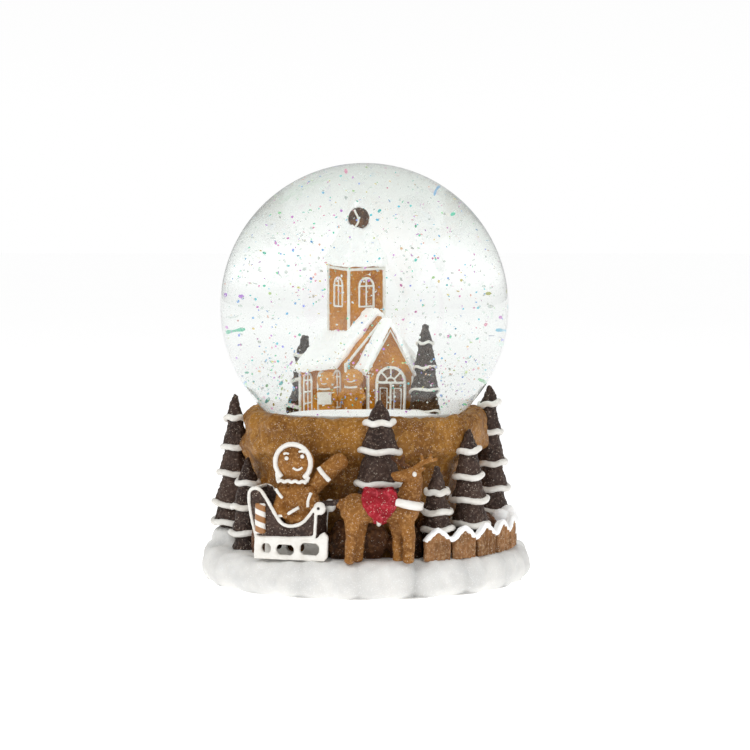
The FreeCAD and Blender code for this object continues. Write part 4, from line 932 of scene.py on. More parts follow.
@dataclass
class Drum:
    """The sugared gingerbread drum with the rocks at its foot."""

    outside: float = 33.5
    floor: float = 13.5
    voxel: float = 0.75
    waist: tuple[float, float] = (20.0, 52.0)
    fill: float = 3.4
    seed: int = 7
    stones: tuple[tuple[float, ...], ...] = (
        (3.6, 41.1, 19.0, 5.4, 5.0, 8.0), (-10.6, 41.3, 16.4, 4.2, 4.4, 9.0),
        (-48.3, 42.8, 16.9, 6.2, 6.2, 9.5), (19.0, 41.9, 16.4, 5.6, 4.6, 8.6),
        (72.0, 42.1, 16.0, 6.8, 6.4, 8.6), (135.0, 43.8, 16.2, 8.0, 7.0, 8.6),
        (-169.6, 44.2, 15.8, 7.5, 6.0, 8.2), (-117.1, 48.3, 16.2, 8.0, 7.0, 8.4),
        (-24.0, 41.0, 20.5, 5.0, 4.6, 8.0), (4.2, 40.4, 30.0, 5.2, 4.4, 5.6),
        (33.0, 39.5, 18.0, 6.0, 4.6, 8.0), (-160.0, 40.0, 21.0, 6.0, 5.0, 7.5),
        (110.0, 40.5, 20.0, 6.4, 5.0, 8.0), (160.0, 40.0, 19.5, 7.0, 5.0, 8.0),
        (-95.0, 40.0, 21.0, 5.0, 5.0, 8.0))

    def push(self, spot: Vector) -> float:
        """Return how freely the wall may be pushed at a point: only outside and above the snow."""
        reach = math.hypot(spot.x, spot.y)
        if reach < self.outside or spot.z < self.floor:
            return 0.0
        return min((reach - self.outside) / 2.0, (spot.z - self.floor) / 3.0, 1.0)

    def swell(self, drum: bpy.types.Object) -> None:
        """Fill out the waist on the left, where the cast wall narrows later than elsewhere."""
        low, high = self.waist
        for vertex in drum.data.vertices:
            spot = vertex.co / MM
            reach = math.hypot(spot.x, spot.y)
            if reach > self.outside and low < spot.z < high:
                side = max(0.0, -spot.x / reach) ** 4
                share = 1.0 + self.fill * side * math.sin(math.pi * (spot.z - low) / (high - low)) / reach
                vertex.co.x *= share
                vertex.co.y *= share

    def build(self) -> None:
        """Cast the drum's skin and pile the rocks against it."""
        drum = BENCH.copy_of("gingerbread_drum", "sugared_drum")
        BENCH.modify(drum, "REMESH", mode="VOXEL", voxel_size=self.voxel * MM)
        BENCH.modify(drum, "SMOOTH", factor=0.5, iterations=4)
        self.swell(drum)
        for size, depth in ((12.0, -3.8), (5.0, -1.9), (1.6, -0.8)):
            BENCH.lump(drum, size, depth, self.push)
        BENCH.only(drum)
        bpy.ops.object.shade_smooth()
        BENCH.dress(drum, Finishes.DRUM, ["gingerbread_drum"])
        self.pile()

    def pile(self) -> None:
        """Pile rounded rocks round the drum's foot."""
        dice = random.Random(self.seed)
        rocks = []
        for angle, ring, height, wide, deep, tall in self.stones:
            turn = math.radians(angle)
            spot = (ring * math.sin(turn), -ring * math.cos(turn), height)
            rocks.append(BENCH.add(Shape.STONE, "rock", spot, (wide, deep, tall), (0, 0, angle)))
            for _ in range(3):
                side = math.radians(angle + dice.uniform(-8, 8))
                step = ring + dice.uniform(0.2, 2.6)
                spot = (step * math.sin(side), -step * math.cos(side), height + dice.uniform(-3.0, 5.0))
                rocks.append(BENCH.add(Shape.STONE, "rock", spot, [dice.uniform(2.0, 3.4)] * 3))
        BENCH.make("rock_pile", rocks,
                   Skin(0.5, 2, ((6.0, 1.8), (2.2, 1.0), (0.9, 0.5))),
                   Finishes.ROCK, "cast_dark_rock", ["gingerbread_rocks"])


@dataclass
class SnowBase:
    """The lobed snow base with its drifts."""

    crease: float = 3.3
    flat: float = 44.0
    foot: float = 1.6
    hem: float = 0.9
    lobes: int = 18
    first_lobe: float = 8.0
    voxel: float = 0.8

    def push(self, spot: Vector) -> float:
        """Return how freely the snow may be pushed: only on its outside."""
        reach = math.hypot(spot.x, spot.y)
        if reach < self.flat or spot.z < self.foot:
            return 0.0
        return min((reach - self.flat) / 4.0, (spot.z - self.foot) / 3.0, 1.0)

    def carve(self, base: bpy.types.Object) -> None:
        """Deepen the creases between the lobes, whose places are the frame's, and store each point's crease
        depth for the snow paint's painted shade.
        """
        shade = base.data.attributes.new("grey_and_crease_shade", "FLOAT", "POINT")
        for vertex in base.data.vertices:
            spot = vertex.co / MM
            reach = math.hypot(spot.x, spot.y)
            if reach > self.flat and spot.z > self.hem:
                angle = math.atan2(spot.x, -spot.y) - math.radians(self.first_lobe)
                crease = 1.0 - abs(math.cos(self.lobes / 2 * angle)) ** 0.8
                uneven = 0.75 + 0.35 * math.sin(3.0 * angle + 1.0) + 0.2 * math.sin(7.0 * angle)
                depth = crease * uneven * min((reach - self.flat) / 9.0, 1.0)
                # the crease depth is kept for the snow paint, which paints shade into the creases with it
                shade.data[vertex.index].value = depth
                share = 1.0 - depth * self.crease / reach
                vertex.co.x *= share
                vertex.co.y *= share

    def build(self) -> None:
        """Cast the base's snow skin."""
        base = BENCH.copy_of("snow_base", "snow_ground")
        BENCH.modify(base, "REMESH", mode="VOXEL", voxel_size=self.voxel * MM)
        BENCH.modify(base, "SMOOTH", factor=0.5, iterations=6)
        self.carve(base)
        BENCH.modify(base, "SMOOTH", factor=0.5, iterations=5)
        for size, depth in ((9.0, -2.2), (3.5, -0.8)):
            BENCH.lump(base, size, depth, self.push)
        BENCH.only(base)
        bpy.ops.object.shade_smooth()
        BENCH.dress(base, Finishes.SNOW, ["snow_base"])


# ---------------------------------------------------------------- trees

@dataclass
class Tree:
    """A dark chocolate tree of flared tiers, each with a piped rim."""

    name: str
    x: float
    y: float
    foot: float
    tip: float
    radius: float
    rims: tuple[tuple[float, float], ...] = ()
    seed: int = 1
    bead: float = 1.1
    voxel: float = 0.42
    finish: Finishes = Finishes.CHOCOLATE

    def tiers(self) -> list[tuple[float, float]]:
        """Return each tier's rim height and radius, from the top down."""
        if self.rims:
            return list(self.rims)
        count = max(4, round((self.tip - self.foot) / 10.2))
        step = (self.tip - self.foot) / (count - 0.2)
        return [(self.tip - step * (i + 0.8), self.radius * (0.44 + 0.56 * i / (count - 1)))
                for i in range(count)]

    def build(self) -> None:
        """Stack the tiers and pipe the icing on their rims."""
        dice = random.Random(self.seed)
        cones, beads = [], []
        above = self.tip
        rows = self.tiers()
        for number, (height, reach) in enumerate(rows):
            top = self.tip if number == 0 else above + 0.6
            lean = (dice.uniform(-0.3, 0.3), dice.uniform(-0.3, 0.3))
            crown = 0.5 if number == 0 else 0.62 * rows[number - 1][1]
            middle = (self.x + lean[0], self.y + lean[1])
            cones.append(BENCH.add(Shape.CONE, "tier", (*middle, (top + height) / 2),
                                   (1, 1, (top - height) / 2), radius1=reach * 0.97, radius2=crown))
            cones.append(BENCH.add(Shape.CONE, "tuck", (self.x, self.y, height - 1.0), (1, 1, 1.05),
                                   radius1=reach * 0.62, radius2=reach * 0.96))
            phase, waves = dice.uniform(0, math.tau), dice.choice((3, 4, 5))
            tilt = dice.uniform(-0.6, 0.6)

            def wave(angle: float, base: float = height, shift: float = phase, count: int = waves,
                     slant: float = tilt) -> float:
                """Return the bead's height at an angle."""
                return base + 0.3 * math.sin(count * angle + shift) + slant * math.cos(angle + shift) + 0.1

            points = ring_points(reach * 0.95, wave, 48, middle)
            beads.append(BENCH.line("rim", points, self.bead, closed=True))
            above = height
        low_height, low_reach = rows[-1]
        if low_height - self.foot > 2.0:
            cones.append(BENCH.add(Shape.CONE, "skirt", (self.x, self.y, (low_height + self.foot) / 2),
                                   (1, 1, (low_height - self.foot) / 2 + 0.3), radius1=low_reach * 0.92,
                                   radius2=low_reach * 0.55))
        cones.append(BENCH.add(Shape.BALL, "tip", (self.x, self.y, self.tip - 1.1), (1.0, 1.0, 1.1)))
        BENCH.make(self.name + "_cast", cones, Skin(self.voxel, 1, ((3.0, 1.1), (1.0, 0.7))), self.finish,
                   "dark_chocolate", [self.name])
        BENCH.make(self.name + "_icing", beads, Skin(0.3, 1, ((1.6, 0.4),)), Finishes.ICING, "white_icing")


@dataclass
class Wood:
    """All the trees on the base and the two in the ball."""

    def trees(self) -> list[Tree]:
        """Return the trees."""
        return [
            Tree("left_tall_tree", -45.0, 1.0, 12.6, 64.0, 8.8, (
                (55.4, 3.3), (46.0, 4.8), (36.4, 5.9), (25.9, 7.8), (19.5, 8.0)), 1),
            Tree("left_small_tree", -40.0, -17.6, 12.6, 43.7, 6.4, (
                (35.0, 3.7), (27.0, 5.0), (17.9, 5.9)), 2),
            Tree("front_tree", 5.2, -41.4, 34.6, 65.0, 8.0, ((57.6, 4.9), (48.2, 6.9), (37.5, 8.0)), 3),
            Tree("right_tall_tree", 35.4, -26.5, 12.6, 54.6, 6.3, (
                (47.1, 3.7), (38.4, 4.9), (30.6, 6.3), (22.5, 6.5)), 4),
            Tree("right_small_tree", 24.2, -38.2, 12.6, 43.0, 5.3, (
                (34.3, 3.7), (27.8, 4.8), (21.9, 5.2)), 5),
            Tree("right_back_tree", 43.6, 4.6, 12.6, 67.0, 7.6, (
                (60.4, 3.5), (50.6, 4.6), (40.0, 5.9), (30.8, 6.9), (22.6, 7.2)), 6),
            Tree("right_rear_tree", 46.4, 19.6, 12.6, 44.0, 5.4, (), 7),
            Tree("back_tall_tree", -26.0, 38.0, 12.6, 62.0, 8.0, (), 8),
            Tree("back_small_tree", 9.0, 47.0, 12.6, 46.0, 6.2, (), 9)]

    def build(self) -> None:
        """Cast every tree."""
        for tree in self.trees():
            tree.build()
        for name, seed in (("inner_right_tree", 11), ("inner_left_tree", 12)):
            low, high = (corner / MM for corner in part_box(name))
            middle = (low + high) / 2
            radius = 5.4 if name == "inner_right_tree" else 4.8
            x, y = (16.8, -9.4) if name == "inner_right_tree" else (middle.x, middle.y)
            # these two take the darker chocolate copy, which is painted shade
            tree = Tree(name, x, y, low.z, high.z, radius, (), seed, 0.5, 0.3,
                        Finishes.SHADED_INNER_CHOCOLATE)
            tree.build()


# ---------------------------------------------------------------- fence, sleigh, rider, reindeer

SLEIGH_STAND = Stand(-23.6, -43.0, 12.6, -22.0)


@dataclass
class Fence:
    """Five ribbed biscuit pickets with icing run along their points."""

    ring: float = 52.2
    first: float = 27.5
    pitch: float = 11.8
    foot: float = 12.4
    ribs: tuple[tuple[float, float], ...] = ((-3.9, 7.2), (-2.0, 8.3), (0.0, 9.1), (2.0, 8.4), (3.9, 7.3))

    def build(self) -> None:
        """Mould the pickets, their icing and the snow over the last one."""
        staves, crest = [], []
        for number in range(5):
            turn = self.first + self.pitch * number
            side = math.radians(turn)
            stand = Stand(self.ring * math.sin(side), -self.ring * math.cos(side), self.foot, turn)
            for across, tall in self.ribs:
                stave = BENCH.add(Shape.ROD, "stave", (across, 0, tall / 2), (0.98, 1.25, tall / 2),
                                  vertices=20)
                staves.append(BENCH.move(stave, stand))
            back = BENCH.add(Shape.BLOCK, "stave", (0, 0.3, 3.5), (4.6, 0.75, 3.6))
            staves.append(BENCH.move(back, stand))
            crest.extend([stand.at(-4.6, -0.4, 6.6), stand.at(-2.4, -0.5, 8.6), stand.at(-0.4, -0.5, 10.2),
                          stand.at(0.8, -0.5, 10.0), stand.at(2.6, -0.5, 8.4), stand.at(4.4, -0.4, 6.8)])
        BENCH.make("picket_fence", staves,
                   Skin(0.32, 1, ((2.4, 0.5), (0.8, 0.3))), Finishes.FENCE, "cast_biscuit", ["fence_pickets"])
        bead = BENCH.line("fence_bead", crest, 0.95)
        inner = BENCH.line("fence_bead", [(x * 0.975, y * 0.975, z - 0.3) for x, y, z in crest], 0.8)
        mound = [BENCH.add(Shape.BALL, "mound", spot, size) for spot, size in (
            ((51.0, -8.2, 19.5), (3.0, 4.0, 4.4)), ((50.0, -3.2, 20.5), (3.4, 4.2, 5.2)),
            ((49.5, 2.8, 18.0), (3.6, 4.0, 4.6)), ((47.0, -8.0, 21.5), (3.0, 3.4, 3.4)))]
        BENCH.make("fence_snow", [bead, inner] + mound,
                   Skin(0.36, 2, ((2.0, 0.6),)), Finishes.FINE_SNOW, "white_icing", ["fence_icing"])


@dataclass
class Sleigh:
    """A chocolate sleigh with piped edges on a pair of iced runners."""

    stand: Stand = SLEIGH_STAND
    half: float = 4.0
    side: tuple[tuple[float, float], ...] = (
        (-11.0, 6.9), (-12.3, 11.5), (-13.4, 16.4), (-13.9, 21.0), (-13.2, 23.0), (-11.4, 23.6), (-9.4, 22.9),
        (-8.2, 21.2), (-6.5, 18.8), (-4.4, 15.2), (-2.4, 12.5), (-0.3, 11.4), (2.5, 11.4), (5.6, 12.6),
        (8.2, 15.4), (9.6, 17.5), (10.4, 15.1), (10.1, 11.0), (9.7, 8.2), (-0.8, 6.8))
    rail: tuple[tuple[float, float], ...] = (
        (-11.6, 0.6), (13.0, 0.9), (14.0, 2.0), (14.3, 8.8), (13.2, 9.8), (12.0, 9.0), (11.0, 7.8),
        (8.0, 7.4), (-11.4, 6.9))
    gaps: tuple[tuple[float, float, float, float], ...] = (
        (-9.6, 2.2, -5.4, 5.8), (-4.2, 1.7, 2.8, 5.7), (4.4, 2.1, 11.9, 6.6))

    def window(self, low_x: float, low_z: float, high_x: float, high_z: float) -> list[tuple[float, float]]:
        """Return a rounded opening in a runner."""
        cut = min(high_x - low_x, high_z - low_z) * 0.28
        return [(low_x + cut, low_z), (high_x - cut, low_z), (high_x, low_z + cut), (high_x, high_z - cut),
                (high_x - cut, high_z), (low_x + cut, high_z), (low_x, high_z - cut), (low_x, low_z + cut)]

    def build(self) -> None:
        """Cut the sides and runners, fit the tub and pipe the edges."""
        walls, beads, rails, dots = [], [], [], []
        for across in (-self.half, self.half):
            wall = BENCH.plate("wall", [self.side], 1.3, 0.3)
            walls.append(BENCH.move(wall, Stand(0, across, 0)))
            out = math.copysign(0.55, across)
            edge = [(x, across + out, z) for x, z in self.side[:16]]
            beads.append(BENCH.line("bead", edge + [(10.8, across + out, 18.6)], 0.62))
            beads.append(BENCH.line("bead", [(10.4, across + out, 16.4), (10.2, across + out, 11.5),
                                             (9.7, across + out, 7.4)], 0.55))
            beads.append(BENCH.line("bead", [(-11.0, across + out, 7.1), (-0.8, across + out, 6.9),
                                             (9.7, across + out, 8.0)], 0.75))
            beads.append(BENCH.add(Shape.BALL, "scroll", (11.6, across + out * 0.6, 17.7), (2.2, 1.25, 2.2)))
            dots.append(BENCH.add(Shape.BALL, "dot", (11.7, across + out * 3.0, 17.8), (0.5, 0.4, 0.5)))
            reach = self.rail if across < 0 else tuple((min(x, 9.4), z) for x, z in self.rail)
            gaps = self.gaps if across < 0 else self.gaps[:2]
            rail = BENCH.plate("rail", [reach] + [self.window(*gap) for gap in gaps], 1.5, 0.35)
            rails.append(BENCH.move(rail, Stand(0, across * 1.08, -0.2)))
        floor = BENCH.add(Shape.BLOCK, "wall", (-0.6, 0, 8.2), (10.2, self.half, 0.9))
        back = BENCH.add(Shape.BLOCK, "wall", (-12.6, 0, 14.8), (0.6, self.half, 7.9), (0, -8, 0))
        front = BENCH.add(Shape.BLOCK, "wall", (10.0, 0, 12.4), (0.6, self.half, 4.8))
        seat = BENCH.add(Shape.BLOCK, "wall", (1.0, 0, 9.8), (8.4, self.half - 0.4, 1.2))
        BENCH.make("sleigh_tub", walls + [floor, back, front, seat],
                   Skin(0.3, 1, ((2.0, 0.5), (0.8, 0.35))),
                   Finishes.CHOCOLATE, "cast_chocolate", ["sleigh_body"], stand=self.stand)
        beads.append(BENCH.line("bead", [(-11.4, -self.half, 23.6), (-11.4, self.half, 23.6)], 0.6))
        beads.append(BENCH.line("bead", [(10.6, -self.half, 18.0), (10.6, self.half, 18.0)], 0.7))
        BENCH.make("sleigh_icing", beads,
                   Skin(0.26, 1, ((1.2, 0.25),)), Finishes.ICING, "white_icing", stand=self.stand)
        eye = BENCH.join("sleigh_dots", dots)
        BENCH.move(eye, self.stand)
        BENCH.dress(eye, Finishes.DARK_EYE)
        rungs = [BENCH.add(Shape.ROD, "rail", (x, 0, 6.6), (0.7, 0.7, self.half), (90, 0, 0))
                 for x in (-8, 0, 8)]
        BENCH.make("sleigh_rails", rails + rungs,
                   Skin(0.3, 1, ((1.6, 0.3),)),
                   Finishes.ICING, "white_icing", ["sleigh_runners"], stand=self.stand)
        self.sweets()

    def sweets(self) -> None:
        """Stand the candy stick behind the rider."""
        x, y, _ = self.stand.at(-9.3, -5.3, 0)
        stick = BENCH.add(Shape.ROD, "candy_twist", (x, y, 26.2), (1.75, 1.5, 5.0), vertices=40)
        BENCH.only(stick)
        bpy.ops.object.mode_set(mode="EDIT")
        bpy.ops.mesh.select_all(action="SELECT")
        bpy.ops.mesh.subdivide(number_cuts=12)
        bpy.ops.object.mode_set(mode="OBJECT")
        BENCH.cast(stick, 0.3, 3, ((1.4, 0.35),))
        stick.data.materials.clear()
        twist = Stripes("candy_twist", (0.36, 0.16, 0.05), (0.86, 0.83, 0.78), (x, y, 26.2))
        stick.data.materials.append(twist.make())
        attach(stick, BODY)
        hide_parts("candy_stick")


@dataclass
class Rider:
    """The gingerbread rider with its piped bonnet, collar and cuffs."""

    stand: Stand = SLEIGH_STAND
    head: tuple[float, float] = (1.0, 32.1)
    reach: tuple[float, float] = (6.7, 6.4)
    face: float = -3.1

    def arc(self, first: float, last: float, size: float, depth: float, steps: int = 14) -> list[Point]:
        """Return points round the head's edge between two angles in degrees."""
        angles = [math.radians(first + (last - first) * i / steps) for i in range(steps + 1)]
        return [(self.head[0] + self.reach[0] * size * math.cos(a), depth,
                 self.head[1] + self.reach[1] * size * math.sin(a)) for a in angles]

    def build(self) -> None:
        """Bake the rider and pipe its trimmings."""
        x, z = self.head
        skull = BENCH.add(Shape.BALL, "head", (x, 0.2, z), (self.reach[0], 3.3, self.reach[1]))
        BENCH.cast(skull, 0.35, 1, ((3.0, 0.5), (0.9, 0.25)))
        skull.name = "rider_face"
        BENCH.move(skull, self.stand)
        BENCH.dress(skull, Finishes.BISCUIT, ["rider_head"])
        parts = [BENCH.add(Shape.BALL, "torso", (x + 1.2, 0, 18.5), (5.4, 3.0, 7.8)),
                 BENCH.limb("arm", (x - 3.6, -1.2, 22.6), (x - 5.4, -2.0, 16.2), 2.1, 2.0),
                 BENCH.limb("arm", (x + 5.6, -1.0, 22.6), (x + 8.2, -2.0, 17.4), 2.2, 2.1),
                 BENCH.limb("arm", (x - 5.2, -2.2, 16.0), (x - 1.6, -3.4, 15.2), 1.9, 1.7),
                 BENCH.add(Shape.BALL, "lap", (x + 2.0, -1.0, 13.4), (6.0, 2.6, 3.0))]
        BENCH.make("rider_torso", parts,
                   Skin(0.36, 2, ((3.0, 0.6), (0.9, 0.3))),
                   Finishes.BISCUIT, "cast_gingerbread", ["rider_body"], stand=self.stand)
        BENCH.make("rider_waving_arm", [
            BENCH.limb("upper", (-18.0, -43.8, 34.6), (-12.6, -45.0, 41.2), 2.5, 3.1),
            BENCH.limb("hand", (-12.4, -45.0, 41.4), (-8.2, -45.6, 45.0), 3.1, 2.9)],
            Skin(0.36, 2, ((2.6, 0.7), (0.9, 0.3))), Finishes.BISCUIT, "cast_gingerbread", ["rider_arm"])
        self.pipe(x)

    def pipe(self, x: float) -> None:
        """Pipe the bonnet, face, collar, cuffs and belt."""
        front = self.face
        bonnet = BENCH.line("bead", self.arc(-52, 232, 0.95, -1.9, 24), 0.85)
        wave = [(x - 5.2 + i * 1.3, -2.7, 25.9 + (0.55 if i % 2 else -0.35)) for i in range(9)]
        wave = [(px, py - 0.35 * math.cos((px - x) / 4.0), pz) for px, py, pz in wave]
        beads = [bonnet, BENCH.line("bead", wave, 0.62),
                 BENCH.line("bead", [(x - 5.8, -1.8, 28.4), (x - 5.2, -2.5, 26.0)], 0.65),
                 BENCH.line("bead", [(x + 5.6, -1.8, 27.6), (x + 5.2, -2.5, 26.0)], 0.65),
                 BENCH.line("bead", [(x + 0.6, front - 0.1, 30.6), (x + 1.6, front - 0.15, 29.9),
                                     (x + 2.8, front - 0.1, 29.9), (x + 3.9, front + 0.1, 30.8)], 0.42),
                 BENCH.line("bead", [(x - 2.9, front + 0.2, 34.9), (x - 1.9, front, 35.6),
                                     (x - 0.9, front, 35.0)], 0.42),
                 BENCH.line("bead", [(x + 2.6, front + 0.1, 35.8), (x + 3.6, front + 0.1, 36.4),
                                     (x + 4.5, front + 0.5, 35.6)], 0.42),
                 BENCH.line("bead", [(x - 5.6, -3.4, 23.4), (x - 4.2, -3.6, 21.6),
                                     (x - 3.0, -3.6, 20.4)], 0.55),
                 BENCH.line("bead", [(x + 7.0, -2.8, 22.6), (x + 5.9, -3.4, 20.2),
                                     (x + 6.2, -3.8, 17.8)], 0.6),
                 BENCH.line("bead", [(x - 4.2, -4.0, 14.6), (x - 1.4, -4.4, 14.8), (x + 0.4, -4.2, 16.2),
                                     (x + 3.0, -3.6, 17.6)], 0.6)]
        beads.extend(BENCH.add(Shape.BALL, "dot", spot, (0.75, 0.5, 0.75)) for spot in (
            (x - 1.7, front - 0.15, 33.6), (x + 3.9, front, 34.4)))
        BENCH.make("rider_piping", beads,
                   Skin(0.22, 1, ((1.0, 0.2),)), Finishes.ICING, "white_icing", stand=self.stand)
        band = [(-14.9, -47.6, 43.4), (-13.5, -48.4, 41.2), (-11.2, -48.4, 39.0)]
        BENCH.make("rider_cuff", [BENCH.line("bead", band, 0.8)], Skin(0.25, 1, ((1.0, 0.2),)),
                   Finishes.ICING, "white_icing")


@dataclass
class Reindeer:
    """The gingerbread reindeer that looks back at the sleigh, in its harness."""

    x: float = 5.0
    y: float = -52.3
    back: float = 30.2

    def build(self) -> None:
        """Cast the body, head and antlers and put on the harness."""
        x, y, z = self.x, self.y, self.back
        parts = [BENCH.limb("trunk", (x - 8.2, y, z - 0.1), (x + 8.2, y, z + 0.6), 4.7, 4.6),
                 BENCH.add(Shape.BALL, "rump", (x - 7.8, y, z), (5.0, 4.6, 5.2)),
                 BENCH.add(Shape.BALL, "chest", (x + 8.4, y, z + 0.4), (5.0, 4.7, 5.3)),
                 BENCH.limb("neck", (x + 9.0, y, z + 1.2), (x + 11.4, y, z + 9.4), 4.4, 3.0)]
        for across, deep in ((-9.6, -1.9), (-7.2, 1.9), (9.6, -1.9), (6.2, 1.9)):
            knee = (x + across + (0.7 if across < 0 else 0.1), y + deep, z - 9.0)
            parts.append(BENCH.limb("thigh", (x + across * 0.88, y + deep * 0.8, z - 1.6), knee, 3.1, 2.1))
            parts.append(BENCH.limb("shin", knee, (x + across, y + deep, 14.0), 2.1, 1.8))
            parts.append(BENCH.add(Shape.BALL, "hoof", (x + across, y + deep - 0.2, 13.6), (1.9, 2.0, 1.2)))
        parts.append(BENCH.limb("tail", (x - 12.2, y, z + 2.4), (x - 13.6, y, z + 1.0), 1.1, 0.8))
        BENCH.make("reindeer_cast", parts,
                   Skin(0.42, 3, ((3.4, 0.7), (1.0, 0.35))),
                   Finishes.BISCUIT, "cast_gingerbread", ["reindeer_body"])
        skull = (x + 10.6, y - 0.4, z + 10.9)
        BENCH.make("reindeer_face", [
            BENCH.add(Shape.BALL, "skull", skull, (3.3, 2.9, 3.0)),
            BENCH.limb("snout", skull, (x + 5.9, y - 0.9, z + 10.8), 2.4, 1.75),
            BENCH.limb("ear", (x + 12.6, y, z + 12.6), (x + 14.8, y + 0.2, z + 13.4), 1.1, 0.5),
            BENCH.limb("ear", (x + 9.8, y + 1.4, z + 13.0), (x + 8.6, y + 2.0, z + 14.6), 1.0, 0.5)],
            Skin(0.34, 2, ((2.4, 0.4), (0.9, 0.25))), Finishes.BISCUIT, "cast_gingerbread",
            ["reindeer_head"])
        self.crown(skull)
        self.harness(x, y, z)

    def crown(self, skull: Point) -> None:
        """Grow the antlers and set the eye."""
        x, y, z = skull
        BENCH.make("antler_dark", [
            BENCH.limb("beam", (x - 0.9, y + 0.4, z + 2.2), (x - 3.6, y + 1.2, z + 4.2), 0.95, 0.9),
            BENCH.limb("beam", (x - 3.6, y + 1.2, z + 4.2), (x - 6.2, y + 1.4, z + 5.8), 0.9, 0.7),
            BENCH.limb("tine", (x - 3.2, y + 1.0, z + 4.0), (x - 2.6, y + 1.4, z + 6.4), 0.8, 0.6)],
            Skin(0.24, 1, ((1.4, 0.4),)), Finishes.ROCK, "dark_gingerbread", ["reindeer_antlers"])
        BENCH.make("antler_light", [
            BENCH.limb("beam", (x + 0.6, y + 0.2, z + 2.2), (x + 3.8, y + 0.8, z + 4.4), 0.9, 0.8),
            BENCH.limb("beam", (x + 3.8, y + 0.8, z + 4.4), (x + 8.0, y + 1.0, z + 5.4), 0.8, 0.6),
            BENCH.limb("tine", (x + 3.8, y + 0.8, z + 4.4), (x + 3.2, y + 1.0, z + 6.6), 0.7, 0.5),
            BENCH.limb("tine", (x + 5.8, y + 0.9, z + 4.9), (x + 6.4, y + 1.0, z + 7.0), 0.65, 0.5)],
            Skin(0.24, 1, ((1.4, 0.35),)), Finishes.BISCUIT, "dark_gingerbread")
        eye = BENCH.add(Shape.BALL, "reindeer_eye", (x + 0.9, y - 2.85, z + 0.9), (0.72, 0.5, 0.85))
        BENCH.dress(eye, Finishes.ICING)
        nose = BENCH.add(Shape.BALL, "reindeer_nose", (x - 5.9, y - 1.0, z + 0.5), (0.9, 1.0, 0.9))
        BENCH.dress(nose, Finishes.BISCUIT)

    def harness(self, x: float, y: float, z: float) -> None:
        """Lay the sugared blanket, girth, collar and pole."""
        heart = [(0.4, 36.4), (1.6, 37.0), (3.2, 36.9), (4.6, 36.2), (5.4, 35.6), (6.4, 36.2), (7.8, 36.8),
                 (9.2, 36.6), (10.2, 35.4), (10.4, 33.4), (9.8, 31.2), (8.4, 29.0), (6.6, 27.2), (5.4, 26.8),
                 (4.0, 27.4), (2.0, 29.2), (0.4, 31.6), (-0.2, 34.0)]
        sides = []
        for side in (-1, 1):
            cloth = BENCH.plate("cloth", [heart], 2.2, 0.6)
            sides.append(BENCH.move(cloth, Stand(0, y + side * 4.2, 0)))
        saddle = BENCH.add(Shape.BALL, "cloth", (5.1, y, z + 0.6), (4.9, 5.0, 5.7))
        BENCH.make("sugared_blanket", sides + [saddle],
                   Skin(0.32, 3, ((2.0, 0.6), (0.7, 0.5))), Finishes.RED, "red_sugar", ["saddle_blanket"])
        turns = [math.radians(a) for a in range(-152, -27, 6)]
        loop = [(x - 0.1, y + 4.75 * math.cos(a), z + 4.9 * math.sin(a)) for a in turns]
        BENCH.make("girth_band", [BENCH.line("bead", loop, 0.85)], Skin(0.28, 2), Finishes.ICING,
                   "white_icing", ["girth_strap"])
        rings = [BENCH.add(Shape.ROD, "collar", (x + 9.4, y - 0.1, z + 1.9), (5.15, 4.95, 1.35), (0, 12, 0)),
                 BENCH.line("collar", [(x + 5.4, y - 4.6, z + 2.9), (x + 9.2, y - 5.2, z + 2.2),
                                       (x + 13.4, y - 3.4, z + 1.4)], 1.35)]
        BENCH.make("neck_collar", rings,
                   Skin(0.32, 3, ((1.4, 0.2),)), Finishes.ICING, "white_icing", ["harness_collar"])
        shaft = BENCH.limb("shaft", (x - 12.6, y + 0.4, z + 2.2), (x - 18.6, y + 1.8, z + 1.6), 1.0, 0.9)
        BENCH.make("harness_shaft", [shaft],
                   Skin(0.3, 1, ((1.4, 0.4),)), Finishes.CHOCOLATE, "dark_gingerbread", ["harness_pole"])


# ---------------------------------------------------------------- the scene in the ball

class Side(Enum):
    """The church's four sides, as the outward direction in its own frame."""

    FRONT = (0, -1)
    BACK = (0, 1)
    LEFT = (-1, 0)
    RIGHT = (1, 0)


